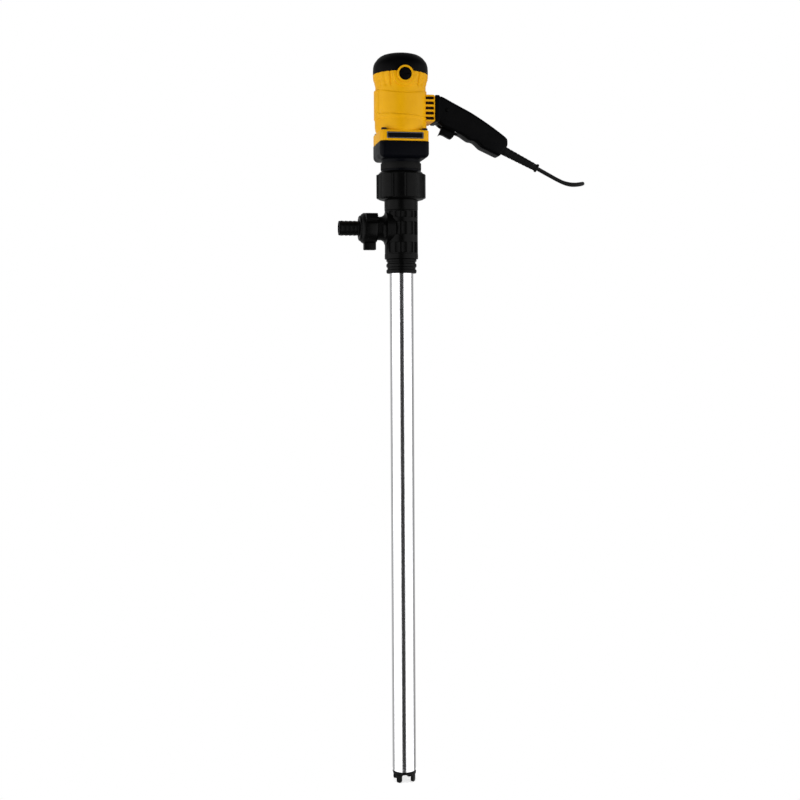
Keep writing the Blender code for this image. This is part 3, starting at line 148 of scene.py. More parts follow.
def smooth_path(points, spacing):
    """Points about a spacing apart along a smooth curve through the given ones."""
    ends = [points[0] * 2 - points[1], *points, points[-1] * 2 - points[-2]]
    path = []
    for before, start, end, after in zip(ends, ends[1:], ends[2:], ends[3:]):
        count = max(1, round((end - start).length / spacing))
        for i in range(count):
            t = i / count
            path.append(0.5 * (2 * start + (end - before) * t
                               + (2 * before - 5 * start + 4 * end - after) * t**2
                               + (3 * start - before - 3 * end + after) * t**3))
    return [*path, points[-1]]


exit_point = BOOT_END.lerp(BOOT_START, 0.04)
route = smooth_path([exit_point] + [Vector(point) * MM for point in LEAD + hank], 3 * MM)
cord_length = sum((b - a).length for a, b in zip(route, route[1:]))
print("cord length:", round(cord_length, 3), "m")

# %% [markdown]
# The cord is a curve with a round bevel of one unit, and each point's radius is half of the
# cord's thickness, so the curve's own box stays tight round it.

# %% The cord
cord_curve = bpy.data.curves.new("mains_cord", "CURVE")
cord_curve.dimensions = "3D"
cord_curve.bevel_depth = 1.0
cord_curve.bevel_resolution = 6
cord_curve.use_fill_caps = True
spline = cord_curve.splines.new("POLY")
spline.points.add(len(route) - 1)
for point, co in zip(spline.points, route):
    point.co = (*co, 1)
    point.radius = CORD_D / 2
spline.use_smooth = True
cord = bpy.data.objects.new("mains_cord", cord_curve)
bpy.context.scene.collection.objects.link(cord)
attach(cord, "pump")
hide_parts("power_cord", "cord_hank")

# %% [markdown]
# ## Colours and nodes
#
# Colours are written as the hex values that a paint chart would give and turned to the
# linear values that the shaders need. One helper adds any node with its settings and links.

# %% Material helpers


def linear(code):
    """A linear colour with full alpha from an sRGB hex value."""
    channels = [int(code[i:i + 2], 16) / 255 for i in (0, 2, 4)]
    return [c / 12.92 if c <= 0.04045 else ((c + 0.055) / 1.055) ** 2.4 for c in channels] + [1]


def add(tree, kind, settings=None, **inputs):
    """Adds a node; an input is a value, or a (node, output name) pair to link from."""
    node = tree.nodes.new(kind)
    for key, value in (settings or {}).items():
        setattr(node, key, value)
    for key, value in inputs.items():
        socket = node.inputs[key.replace("_", " ")]
        if isinstance(value, tuple) and isinstance(value[0], bpy.types.Node):
            tree.links.new(value[0].outputs[value[1]], socket)
        else:
            socket.default_value = value
    return node


def finish(name, **sockets):
    """An empty material with its shader, which the cell that makes it then details."""
    made = bpy.data.materials.new(name)
    made.use_nodes = True
    shader = made.node_tree.nodes["Principled BSDF"]
    for key, value in sockets.items():
        shader.inputs[key.replace("_", " ")].default_value = value
    return made, made.node_tree, shader


# %% [markdown]
# ## Moulded plastics
#
# The housing is ABS, injection moulded in a tool with a fine spark-eroded texture, which
# gives an even satin yellow. Its grain is about 0.3 mm, drawn here at 0.9 mm so that it
# shows at all. The colour drifts very slightly from place to place, as moulded colour does.


# %% Moulded finishes
CLOUD_SIZE, PATCH_SIZE = 45 * MM, 14 * MM
NOISE_LOW, NOISE_HIGH = 0.3, 0.7


def moulded(name, dark, light, roughness, spread, grain_mm, depth_mm, gloss):
    """A moulded plastic: two close colours, an uneven sheen and a fine grain."""
    made, tree, shader = finish(name, Specular_IOR_Level=gloss)
    place = add(tree, "ShaderNodeTexCoord")
    cloud = add(tree, "ShaderNodeTexNoise", Vector=(place, "Object"), Scale=1 / CLOUD_SIZE,
                Detail=3.0)
    share = add(tree, "ShaderNodeMapRange", Value=(cloud, "Fac"), From_Min=NOISE_LOW,
                From_Max=NOISE_HIGH)
    tint = add(tree, "ShaderNodeMixRGB", Fac=(share, "Result"), Color1=linear(dark),
               Color2=linear(light))
    tree.links.new(tint.outputs["Color"], shader.inputs["Base Color"])
    patch = add(tree, "ShaderNodeTexNoise", Vector=(place, "Object"), Scale=1 / PATCH_SIZE,
                Detail=4.0)
    sheen = add(tree, "ShaderNodeMapRange", Value=(patch, "Fac"), From_Min=NOISE_LOW,
                From_Max=NOISE_HIGH,
                To_Min=roughness - spread, To_Max=roughness + spread)
    tree.links.new(sheen.outputs["Result"], shader.inputs["Roughness"])
    grain = add(tree, "ShaderNodeTexNoise", Vector=(place, "Object"), Scale=1 / (grain_mm * MM),
                Detail=2.0)
    pitting = add(tree, "ShaderNodeBump", Height=(grain, "Fac"), Distance=depth_mm * MM,
                  Strength=1.0)
    tree.links.new(pitting.outputs["Normal"], shader.inputs["Normal"])
    return made


yellow_abs = moulded("moulded_yellow_abs", "EAA800", "F4B406", 0.42, 0.05, 0.9, 0.03, 0.12)
# The dark brown is painted shade: the yellow as it looks in shadow, used for the block behind the
# vent slots.
painted_shade_abs = moulded("painted_shade_yellow_abs", "1A0D02", "241304", 0.7, 0.05, 0.9, 0.05, 0.1)

# %% [markdown]
# The black parts are two plastics. The cap, nose and grip are glass-filled nylon, satin with
# a faint mottle where the fibres come near the surface. The manifold, nuts and foot are
# polypropylene, a little waxier, so they carry broader and softer highlights.

# %% Black plastics
black_nylon = moulded("satin_glass_filled_nylon", "020203", "040405", 0.42, 0.07, 0.8, 0.03, 0.045)
nose_nylon = moulded("moulded_nose_nylon", "030408", "06070D", 0.40, 0.06, 0.8, 0.03, 0.05)
black_polypropylene = moulded("waxy_polypropylene", "030303", "060606", 0.34, 0.06, 1.4, 0.04, 0.08)
black_rubber = moulded("moulded_black_rubber", "060606", "0B0B0B", 0.62, 0.06, 0.7, 0.06, 0.12)
cord_sheath = moulded("extruded_rubber_sheath", "060606", "0B0B0B", 0.5, 0.05, 2.5, 0.05, 0.14)

# %% [markdown]
# ## Metals
#
# The dip tube is stainless steel, drawn and then polished along its length, so it mirrors
# soft bright areas and keeps only faint lines along the draw. The pattern is a noise that
# is stretched fifty times along the tube.


# %% Metals
def metal(name, dark, light, roughness, spread, stretch, grain_mm, depth_mm):
    """A metal whose grain runs along Z when stretch is under one."""
    made, tree, shader = finish(name, Metallic=1.0)
    place = add(tree, "ShaderNodeTexCoord")
    along = add(tree, "ShaderNodeMapping", Vector=(place, "Object"), Scale=(1, 1, stretch))
    lines = add(tree, "ShaderNodeTexNoise", Vector=(along, "Vector"), Scale=1 / (grain_mm * MM),
                Detail=4.0)
    share = add(tree, "ShaderNodeMapRange", Value=(lines, "Fac"), From_Min=NOISE_LOW,
                From_Max=NOISE_HIGH)
    tint = add(tree, "ShaderNodeMixRGB", Fac=(share, "Result"), Color1=linear(dark),
               Color2=linear(light))
    tree.links.new(tint.outputs["Color"], shader.inputs["Base Color"])
    sheen = add(tree, "ShaderNodeMapRange", Value=(lines, "Fac"), From_Min=NOISE_LOW,
                From_Max=NOISE_HIGH,
                To_Min=roughness - spread, To_Max=roughness + spread)
    tree.links.new(sheen.outputs["Result"], shader.inputs["Roughness"])
    scratches = add(tree, "ShaderNodeBump", Height=(lines, "Fac"), Distance=depth_mm * MM,
                    Strength=1.0)
    tree.links.new(scratches.outputs["Normal"], shader.inputs["Normal"])
    return made


polished_steel = metal("polished_drawn_stainless", "E6E6E8", "F0F0F2", 0.17, 0.02, 0.02, 1.5,
                       0.0015)
shaft_steel = metal("ground_steel", "B8B8BC", "C8C8CC", 0.24, 0.05, 8, 1.2, 0.01)
black_oxide = metal("black_oxide_steel", "1B1B1D", "29292C", 0.42, 0.08, 1, 1.0, 0.02)
lamination_steel = metal("stacked_lamination_steel", "5A5A60", "80808A", 0.5, 0.08, 30, 12, 0.05)
enamelled_copper = metal("enamelled_copper_wire", "8A3B14", "B5602A", 0.35, 0.08, 20, 10, 0.12)
turned_brass = metal("turned_brass", "B58A3A", "D0A450", 0.28, 0.06, 12, 4, 0.01)
pressed_carbon = moulded("pressed_carbon", "101010", "1C1C1C", 0.75, 0.05, 0.6, 0.05, 0.2)
white_ptfe = moulded("turned_white_ptfe", "D8D8D2", "E6E6E0", 0.5, 0.05, 1.0, 0.02, 0.3)

# %% [markdown]
# ## Modelling helpers
#
# Most of the pump was turned or moulded in round tools, so most pieces start as a circle
# that is extruded and scaled ring by ring, the way a lathe profile is traced by hand.


# %% Turning
def only(*pieces):
    """Selects these pieces and nothing else, the first of them active."""
    bpy.ops.object.select_all(action="DESELECT")
    for piece in pieces:
        piece.select_set(True)
    bpy.context.view_layer.objects.active = pieces[0]


def turned(profile, sides=96):
    """A round piece about Z through (radius, height) points in mm, closed if the ends meet."""
    hollow = profile[0] == profile[-1]
    radius, height = (value * MM for value in profile[0])
    bpy.ops.mesh.primitive_circle_add(vertices=sides, radius=radius, location=(0, 0, height),
                                      fill_type="NOTHING" if hollow else "NGON")
    piece = bpy.context.object
    bpy.ops.object.transform_apply(location=True, rotation=True, scale=True)
    bpy.ops.object.mode_set(mode="EDIT")
    bpy.ops.mesh.select_all(action="SELECT")
    for next_radius, next_height in profile[1:]:
        next_radius, next_height = next_radius * MM, next_height * MM
        bpy.ops.mesh.extrude_region_move(TRANSFORM_OT_translate={"value": (0, 0,
                                                                           next_height - height)})
        growth = next_radius / radius
        bpy.ops.transform.resize(value=(growth, growth, 1), center_override=(0, 0, next_height))
        radius, height = next_radius, next_height
    bpy.ops.mesh.select_all(action="SELECT")
    bpy.ops.mesh.remove_doubles(threshold=0.000005)
    bpy.ops.mesh.normals_make_consistent(inside=False)
    bpy.ops.object.mode_set(mode="OBJECT")
    return piece


def aimed(piece, direction, origin=(0, 0, 0)):
    """Turns a piece's own Z axis to a direction and moves it to an origin, in mm."""
    turning = Vector(direction).to_track_quat("Z", "Y").to_matrix().to_4x4()
    piece.matrix_world = Matrix.Translation(Vector(origin) * MM) @ turning
    only(piece)
    bpy.ops.object.transform_apply(location=True, rotation=True, scale=True)
    return piece


# %% [markdown]
# The other pieces start as a block or as a flat outline. Cutters are made the same way and
# removed after use. A small bevel on every edge catches the light, as moulded edges do.


# %% Blocks, outlines, cutting and edges
def block(size, centre, turn=None):
    """A box of a size about a centre, in mm, turned by an optional matrix."""
    bpy.ops.mesh.primitive_cube_add(size=1)
    piece = bpy.context.object
    piece.matrix_world = (Matrix.Translation(Vector(centre) * MM) @ (turn or Matrix())
                          @ Matrix.Diagonal((*(Vector(size) * MM), 1)))
    bpy.ops.object.transform_apply(location=True, rotation=True, scale=True)
    return piece


def outlined(outlines, low, high, rim=0.0, upright=False):
    """A flat outline in mm, given thickness along Z, or along Y if upright, with a rounded rim."""
    curve = bpy.data.curves.new("outline", "CURVE")
    curve.dimensions = "2D"
    curve.fill_mode = "BOTH"
    curve.extrude = ((high - low) / 2 - rim) * MM
    curve.bevel_depth, curve.offset = rim * MM, -rim * MM
    curve.bevel_resolution = 4
    for outline in outlines:
        loop = curve.splines.new("POLY")
        loop.points.add(len(outline) - 1)
        for point, (across, along) in zip(loop.points, outline):
            point.co = (across * MM, along * MM, 0, 1)
        loop.use_cyclic_u = True
    piece = bpy.data.objects.new("outline", curve)
    bpy.context.scene.collection.objects.link(piece)
    only(piece)
    bpy.ops.object.convert(target="MESH")
    piece = bpy.context.object
    bpy.ops.object.mode_set(mode="EDIT")
    bpy.ops.mesh.select_all(action="SELECT")
    bpy.ops.mesh.remove_doubles(threshold=0.000005)
    bpy.ops.mesh.normals_make_consistent(inside=False)
    bpy.ops.object.mode_set(mode="OBJECT")
    middle = (low + high) / 2 * MM
    if upright:
        piece.matrix_world = Matrix.Translation((0, middle, 0)) @ Matrix.Rotation(math.pi / 2, 4,
                                                                                  "X")
    else:
        piece.matrix_world = Matrix.Translation((0, 0, middle))
    bpy.ops.object.transform_apply(location=True, rotation=True, scale=True)
    return piece


def apply(piece, kind, **settings):
    """Adds a modifier with its settings and applies it."""
    step = piece.modifiers.new(kind.title(), kind)
    for key, value in settings.items():
        setattr(step, key, value)
    only(piece)
    bpy.ops.object.modifier_apply(modifier=step.name)
    return piece


def carved(piece, *tools, operation="DIFFERENCE"):
    for tool in tools:
        apply(piece, "BOOLEAN", operation=operation, object=tool, solver="EXACT")
        bpy.data.objects.remove(tool, do_unlink=True)
    return piece


def joined(*pieces):
    only(*pieces)
    bpy.ops.object.join()
    return bpy.context.object


def softened(piece, width, segments=2, angle=35):
    return apply(piece, "BEVEL", width=width * MM, segments=segments, limit_method="ANGLE",
                 angle_limit=math.radians(angle), harden_normals=False)


def bevel_edges(piece, wanted, width, segments):
    """Bevels the edges whose two ends pass a test, in mm."""
    bpy.ops.object.mode_set(mode="EDIT")
    bpy.ops.mesh.select_mode(type="EDGE")
    bpy.ops.mesh.select_all(action="DESELECT")
    bpy.ops.object.mode_set(mode="OBJECT")
    for edge in piece.data.edges:
        ends = [piece.data.vertices[index].co / MM for index in edge.vertices]
        edge.select = wanted(*ends)
    bpy.ops.object.mode_set(mode="EDIT")
    bpy.ops.mesh.bevel(offset=width * MM, segments=segments, affect="EDGES")
    bpy.ops.object.mode_set(mode="OBJECT")
    return piece


def settled(piece, name, material, slot, *nodes, body="pump"):
    """Names a finished piece, gives it its finish and rides it on its body for its solids."""
    only(piece)
    piece.name = piece.data.name = name
    piece.data.materials.clear()
    piece.data.materials.append(material)
    bpy.ops.object.shade_smooth_by_angle(angle=math.radians(32))
    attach(piece, body)
    if nodes:
        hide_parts(*nodes)
    print(name, len(piece.data.polygons), "faces")
    return piece


def at(azimuth, radius, height=0.0):
    """The point at an azimuth in degrees from the front towards +X, in mm."""
    angle = math.radians(azimuth)
    return Vector((radius * math.sin(angle), -radius * math.cos(angle), height))


def facing(azimuth):
    return Matrix.Rotation(math.radians(azimuth), 4, "Z")


# %% [markdown]
# ## Dip tube and foot
#
# The tube is a plain polished pipe. The foot is one black moulding: a ring the size of the
# tube and four legs that hold the inlet off the drum's floor, so liquid can flow in.

# %% Dip tube
TUBE_R, TUBE_TOP, TUBE_END = 21.0, -6.5, -916.5
tube = turned([(TUBE_R, TUBE_TOP - 0.4), (TUBE_R, TUBE_END + 0.4), (TUBE_R - 0.4, TUBE_END),
               (TUBE_R - 1.5, TUBE_END),
               (TUBE_R - 1.5, TUBE_TOP), (TUBE_R - 0.4, TUBE_TOP), (TUBE_R, TUBE_TOP - 0.4)], 160)
settled(tube, "dip_tube", polished_steel, "stainless_steel", "outer_tube")

# %% Foot
FOOT_TOP, FOOT_UNDER, LEG_TIP = TUBE_END - 0.3, TUBE_END - 4.9, -936.0
foot = turned([(19.0, FOOT_TOP + 8), (19.0, FOOT_TOP), (TUBE_R, FOOT_TOP),
               (TUBE_R, FOOT_UNDER + 0.6),
               (TUBE_R - 0.6, FOOT_UNDER), (13.1, FOOT_UNDER), (12.5, FOOT_UNDER + 0.6),
               (12.5, FOOT_TOP + 1),
               (17.4, FOOT_TOP + 5), (17.4, FOOT_TOP + 8), (19.0, FOOT_TOP + 8)], 96)
for leg in range(4):
    shape = block((9.6, 5, 19), (0, -17.9, LEG_TIP + 9.5))
    bevel_edges(shape, lambda a, b: max(a.z, b.z) < LEG_TIP + 1 and abs(a.x - b.x) < 1, 3.6, 6)
    root = block((15.5, 5, 6), (0, -17.9, FOOT_UNDER + 0.8))
    bevel_edges(root, lambda a, b: max(a.z, b.z) < FOOT_UNDER and abs(a.x - b.x) < 1, 2.4, 4)
    shape = joined(shape, root)
    softened(shape, 0.7)
    shape.matrix_world = facing(50 + 90 * leg)
    only(shape)
    bpy.ops.object.transform_apply(location=True, rotation=True, scale=True)
    foot = joined(foot, shape)
settled(foot, "suction_foot", black_polypropylene, "black_nylon", "foot")

# %% [markdown]
# ## Manifold
#
# The manifold is a thick moulding, so its wall is cored out in rows of shallow pockets that
# keep the thickness even while it cools. The pockets repeat every 24 degrees. One is
# modelled, copied round in three rows, and all of them are cut at once. Under the bung seat
# is a ribbed spigot, which grips the adaptor in the drum's opening.

# %% Manifold
MANIFOLD_R, COLLAR_R = 29.4, 29.7
manifold = turned([
    (34.2, 118), (34.2, 111.3), (COLLAR_R, 111.3), (COLLAR_R, 86.4), (MANIFOLD_R - 0.4, 85.8),
    (MANIFOLD_R, 85.2),
    (MANIFOLD_R, 10.2), (COLLAR_R - 0.4, 9.5), (COLLAR_R, 8.9), (COLLAR_R, 0.8),
    (COLLAR_R - 0.8, 0), (26.4, 0), (26.8, -0.8),
    (27.0, -2.2), (26.8, -3.8), (25.3, -4.8), (25.0, -6.2), (25.3, -7.4), (26.7, -8.6), (27.0, -11),
    (26.7, -13.6), (25.3, -14.8), (25.0, -16.5), (25.3, -17.9), (26.7, -19), (27.0, -21.4),
    (26.4, -24.2),
    (25.4, -25), (TUBE_R + 0.3, -25), (TUBE_R + 0.3, 100), (30, 118)], 120)
pockets = []
for low, high, first, last in ((11, 29.5, -2, 10), (42.5, 65.5, -1, 9), (72.5, 84, -2, 10)):
    for number in range(first, last):
        pocket = block((9.4, 7, high - low), (0, -MANIFOLD_R - 0.6, (low + high) / 2))
        softened(pocket, 0.9, 3)
        pocket.matrix_world = facing(24 * number)
        only(pocket)
        bpy.ops.object.transform_apply(location=True, rotation=True, scale=True)
        pockets.append(pocket)
carved(manifold, joined(*pockets))
settled(manifold, "manifold_body", black_polypropylene, "black_nylon", "manifold")

# %% [markdown]
# ## Outlet
#
# The branch flares where it leaves the body, because a moulding has no sharp inner corners.
# A nut with three lugs holds the hose tail on it, and the barbs of the tail hold the hose.

# %% Outlet branch
OUTLET = (0, 0, 54.3)
flare = [(20.8 + 10 * (1 - math.cos(a)), 38.7 - 10 * math.sin(a))
         for a in (math.radians(10 * i) for i in range(9))]
branch = turned([(10.5, 60), (20.2, 60), (20.8, 59.4), *flare, (28.5, 14), (10.5, 14), (10.5, 60)],
                96)
settled(aimed(branch, (-1, 0, 0), OUTLET), "outlet_branch", black_polypropylene, "black_nylon")

# %% Hose tail
barbs = []
for barb in range(4):
    high = 107.5 - 7.4 * barb
    barbs += [(13.3, high), (13.2, high - 0.8), (12.5, high - 6.6), (12.6, high - 7.1)]
tail = turned([(9.3, 111.6), (9.7, 112), (12.2, 112), (12.7, 111.4), (12.9, 108.2), *barbs,
               (13.2, 77.5), (13.3, 70), (20.5, 66.6),
               (20.5, 63.2), (9.3, 62.6), (9.3, 111.6)], 96)
settled(aimed(tail, (-1, 0, 0), OUTLET), "barbed_hose_tail", black_polypropylene, "black_nylon",
        "hose_tail")

# %% Outlet nut
nut = turned([(15.6, 76), (20.8, 76), (21.8, 75.4), (23.0, 72.6), (24.6, 71.8), (26.8, 68.6),
              (27.1, 67.4), (27.1, 49),
              (26.2, 46.6), (24.6, 45), (21.6, 45), (21.1, 45.5), (21.1, 67.2), (13.6, 67.2),
              (13.6, 74.5), (15.6, 76)], 96)
for lug in range(3):
    shape = block((14, 14, 21.4), (31.2, 0, 57))
    softened(shape, 1.6, 4)
    shape.matrix_world = Matrix.Rotation(math.radians(120 * lug - 90), 4, "Z")
    only(shape)
    bpy.ops.object.transform_apply(location=True, rotation=True, scale=True)
    nut = joined(nut, shape)
settled(aimed(nut, (-1, 0, 0), OUTLET), "lugged_outlet_nut", black_polypropylene, "black_nylon",
        "outlet_nut", body="outlet_nut")

# %% [markdown]
# ## Union nut
#
# Six broad lobes let a wet hand turn this nut. The outline is drawn from above with rounded
# corners, given its height and a rounded rim, joined to a chamfered barrel, and bored out
# for the neck and the collar.

# %% Union nut
lobes = []
for index in range(6):
    middle = 14.5 + 60 * index
    corner = [(43.7, turn) for turn in (-12.6, -8, -4, 0, 4, 8, 12.6)]
    corner += [(43.5, 13.9), (43.0, 14.8), (42.1, 15.3), (41.5, 15.9), (41.1, 17.4)]
    corner += [(41.0, turn) for turn in (21, 25.5, 30, 34.5, 39)]
    corner += [(41.1, 42.6), (41.5, 44.1), (42.1, 44.7), (43.0, 45.2), (43.5, 46.1)]
    lobes += [tuple(at(middle + turn, radius).to_2d()) for radius, turn in corner]
union = outlined([lobes], 107.2, 149.2, 1.4)
barrel = turned([(34.6, 153.6), (36.2, 153.6), (37.2, 153.2), (40.7, 149.6), (40.7, 106.8),
                 (39.6, 105.6),
                 (32.4, 103.5), (31, 103.5), (30.0, 104), (30.0, 111), (34.6, 111), (34.6, 153.6)],
                 96)
bore = turned([(34.6, 160), (34.6, 111), (30.0, 111), (30.0, 95)], 96)
union = carved(union, bore)
settled(joined(union, barrel), "lobed_union_nut", black_polypropylene, "black_nylon", "union_nut",
        body="union_nut")

# %% [markdown]
# ## Nose
#
# The nose is a square block whose upright corners and lower rim are broadly rounded, with a
# round neck under it. A cube is bevelled twice: first its upright edges, then its lower rim.

# %% Nose
NOSE_LOW, PARTING = 174.5, 203.0
nose = block((87.2, 87.2, PARTING - NOSE_LOW), (0, 0, (PARTING + NOSE_LOW) / 2))
bevel_edges(nose, lambda a, b: abs(a.z - b.z) > 1, 9, 8)
bevel_edges(nose, lambda a, b: max(a.z, b.z) < NOSE_LOW + 0.1, 8.6, 7)
bevel_edges(nose, lambda a, b: min(a.z, b.z) > PARTING - 0.1, 0.7, 2)
neck = turned([(34, 121.5), (34, 170.5), (34.6, 173), (36, 175), (38, 176)], 96)
settled(joined(nose, neck), "square_nose", nose_nylon, "black_nylon", "nose_housing")

# %% [markdown]
# ## Motor housing
#
# The housing is a barrel on a square foot. Its surface is a relief: a waist, a shoulder that
# dips at the front and back, a shallow panel on each side of the grip, and flutes beside the
# brush bosses. A lathe shape with many fine rings is made first. Each point is then pushed in
# or out by a function of its height and its azimuth, which keeps the relief in one place.

# %% Barrel of the motor housing
CAP_PARTING = 323.0


def barrel_radius(z):
    """The radius without any relief, at a height in mm."""
    knots = ((212, 42.6), (221, 42.8), (226, 44.8), (232, 45.8), (302, 44.5), (309, 46.0),
             (316, 48.1), (319, 48.5), (323, 48.6))
    for (low, start), (high, end) in zip(knots, knots[1:]):
        if z <= high:
            return start + (end - start) * ease((z - low) / (high - low))
    return knots[-1][1]


def relief(azimuth, z):
    """The finished radius at an azimuth in degrees, the same at the back as at the front."""
    a = azimuth if abs(azimuth) <= 90 else math.copysign(180 - abs(azimuth), azimuth)
    shoulder = 295.5 - 9.5 * math.cos(math.radians(a)) ** 2
    raised = ease((z - 243) / 3) * (1 - ease((z - shoulder + 0.9) / 1.8))
    radius = barrel_radius(z) + (47.3 - barrel_radius(z)) * raised
    floor = 248.2 + (252.8 - 248.2) * max(0, -a / 66) - 2 * max(0, a / 58)
    inside = ease((a + 68) / 3) * ease((z - floor + 0.5) / 1.2) * raised
    radius -= 1.4 * inside
    flute = sum(depth * ease(1 - abs(abs(a) - centre) / half) for centre, half,
                depth in ((33, 2.6, 2.2), (46, 6, 1.5), (61, 6, 1.2)))
    return radius - flute * ease((z - 297) / 6)


rings = [212, 219, 221, 223, 225, 227, 229.5, 232, 237, 241] + [242 + 0.9 * i for i in range(90)]
housing = turned([(barrel_radius(z), z) for z in rings if z < CAP_PARTING] + [(48.6, CAP_PARTING)],
                 240)
for point in housing.data.vertices:
    z = point.co.z / MM
    azimuth = math.degrees(math.atan2(point.co.x, -point.co.y))
    reach = relief(azimuth, z) / (math.hypot(point.co.x, point.co.y) / MM)
    point.co.x *= reach
    point.co.y *= reach
carved(housing, *[aimed(turned([(11.9, 35), (11.9, 45.9), (21.6, 45.9), (21.6, 60)], 64),
                        (0, side, 0), (0, 0, 318)) for side in (-1, 1)])
settled(housing, "motor_barrel", yellow_abs, "yellow_abs", "motor_housing")

# %% [markdown]
# The square foot of the housing matches the nose below it. The label's raised frame sits on
# its front. At each corner the barrel leaves a small ledge for a screw.

# %% Square foot, label frame and label
band = block((86.4, 86.4, 18.7), (0, 0, 212.65))
bevel_edges(band, lambda a, b: abs(a.z - b.z) > 1, 9, 8)
softened(band, 0.9, 3, 50)
frame_block = block((74, 3, 16.4), (0, -42.3, 212.4))
softened(frame_block, 0.5)
settled(joined(band, frame_block), "housing_square_foot", yellow_abs, "yellow_abs")

LABEL_MIDDLE, LABEL_LINE = 212.5, 0.28 * MM
made, tree, shader = finish("blank_label_film", Roughness=0.3, Specular_IOR_Level=0.06)
place = add(tree, "ShaderNodeTexCoord")
split = add(tree, "ShaderNodeSeparateXYZ", Vector=(place, "Object"))
sides = add(tree, "ShaderNodeMath", {"operation": "ABSOLUTE"}, Value=(split, "X"))
side_line = add(tree, "ShaderNodeMath", {"operation": "COMPARE"}, Value=(sides, "Value"))
side_line.inputs[1].default_value, side_line.inputs[2].default_value = 31.2 * MM, LABEL_LINE
level = add(tree, "ShaderNodeMath", {"operation": "SUBTRACT"}, Value=(split, "Z"))
level.inputs[1].default_value = LABEL_MIDDLE * MM
level = add(tree, "ShaderNodeMath", {"operation": "ABSOLUTE"}, Value=(level, "Value"))
level_line = add(tree, "ShaderNodeMath", {"operation": "COMPARE"}, Value=(level, "Value"))
level_line.inputs[1].default_value, level_line.inputs[2].default_value = 4.5 * MM, LABEL_LINE
line = add(tree, "ShaderNodeMath", {"operation": "MAXIMUM"}, Value=(side_line, "Value"))
tree.links.new(level_line.outputs["Value"], line.inputs[1])
tint = add(tree, "ShaderNodeMixRGB", Fac=(line, "Value"), Color1=linear("050507"),
           Color2=linear("8A8C90"))
tree.links.new(tint.outputs["Color"], shader.inputs["Base Color"])
speck = add(tree, "ShaderNodeTexNoise", Vector=(place, "Object"), Scale=1 / (2.5 * MM), Detail=2.0)
pitting = add(tree, "ShaderNodeBump", Height=(speck, "Fac"), Distance=0.02 * MM, Strength=1.0)
tree.links.new(pitting.outputs["Normal"], shader.inputs["Normal"])
label_film = made
label = block((64.8, 0.7, 11.4), (0, -44.05, LABEL_MIDDLE))
bevel_edges(label, lambda a, b: abs(a.y - b.y) > 0.1, 1.2, 4)
settled(label, "blank_label", label_film, "label_film", "nameplate")

# %% [markdown]
# The vent box carries the grip. Its slots let cooling air in past a block painted dark brown,
# which is painted shade standing for the shadow inside the box. One slot with round ends is
# modelled and copied, and the copies are cut through the box.

# %% Vent box
vent = block((22, 48, 46.7), (46, 0, 263.95))
bevel_edges(vent, lambda a, b: abs(a.y - b.y) > 1, 3, 4)
slots = []
for number in range(5):
    slot = block((16.6, 60, 5.4), (47.5, 0, 246.4 + 8.85 * number))
    bevel_edges(slot, lambda a, b: abs(a.y - b.y) > 1, 1.5, 3)
    slots.append(slot)
carved(vent, joined(*slots))
softened(vent, 0.6, 2, 50)
settled(vent, "vent_box", yellow_abs, "yellow_abs")
# This block is painted shade: a dark sheet standing for the shadow inside the box behind the slots.
vent_shade_block = block((17, 40, 44), (46.5, 0, 264))
softened(vent_shade_block, 1)
settled(vent_shade_block, "vent_painted_shade_block", painted_shade_abs, "black_nylon")

# %% [markdown]
# Each carbon brush sits behind a black cap that screws into a round boss. The boss has a rim
# round the cap and a broad pad behind it. The cap's slot is for a coin or a screwdriver.

# %% Brush bosses, pads and caps
BRUSH_HEIGHT = 318.0
for side, name in ((-1, "front"), (1, "rear")):
    centre = (0, 0, BRUSH_HEIGHT)
    ring = turned([(11.3, 48.6), (11.7, 49), (14.0, 49), (14.6, 48.4), (14.6, 36), (11.3, 36),
                   (11.3, 48.6)], 64)
    pad = turned([(12, 30), (21.0, 30), (21.0, 45.0), (20.4, 45.8), (19.4, 46.1), (12, 46.1),
                  (12, 30)], 64)
    pad = aimed(pad, (0, side, 0), centre)
    bpy.ops.object.mode_set(mode="EDIT")
    bpy.ops.mesh.select_all(action="SELECT")
    bpy.ops.mesh.bisect(plane_co=(0, 0, (CAP_PARTING - 0.3) * MM), plane_no=(0, 0, 1),
                        use_fill=True, clear_outer=True)
    bpy.ops.object.mode_set(mode="OBJECT")
    boss = joined(pad, aimed(ring, (0, side, 0), centre))
    settled(boss, f"brush_boss_{name}", yellow_abs, "yellow_abs")
    cap = turned([(11.0, 40.9), (11.0, 46.6), (10.6, 47.3), (9.8, 47.6), (4, 47.8), (0.5, 47.8)],
                 64)
    slot = block((15, 1.8, 4), (0, 0, 47.8))
    softened(carved(cap, slot), 0.25, 2, 50)
    settled(aimed(cap, (0, side, 0), centre), f"slotted_brush_cap_{name}", black_nylon,
            "black_nylon", f"brush_cap_{name}")

# %% [markdown]
# ## Top cap
#
# The cap is a dome with a nearly flat crown. It meets the housing on a level line, and an
# arch is cut out of it round each brush boss.

# %% Top cap
dome = [(48.6, 323.3), (48.6, 331), (48.2, 336.6), (47.2, 341), (45.6, 344.6), (43.0, 348),
        (40.2, 351.4), (36.6, 354.3),
        (32.4, 356.6), (27, 358.2), (20.6, 359.2), (14, 359.6), (9.2, 359.8), (8.6, 360.1),
        (0.6, 360.1)]
cap = turned(dome, 144)
arches = [aimed(turned([(14.8, 20), (14.8, 70)], 64), (0, side, 0), (0, 0, BRUSH_HEIGHT))
          for side in (-1, 1)]
carved(cap, *arches)
softened(cap, 0.7, 3, 50)
settled(cap, "domed_top_cap", black_nylon, "black_nylon", "top_cap")

# %% [markdown]
# ## Screws
#
# Socket screws hold the nose to the housing. Each has a chamfered head with a hexagon
# socket, cut with a six-sided prism.

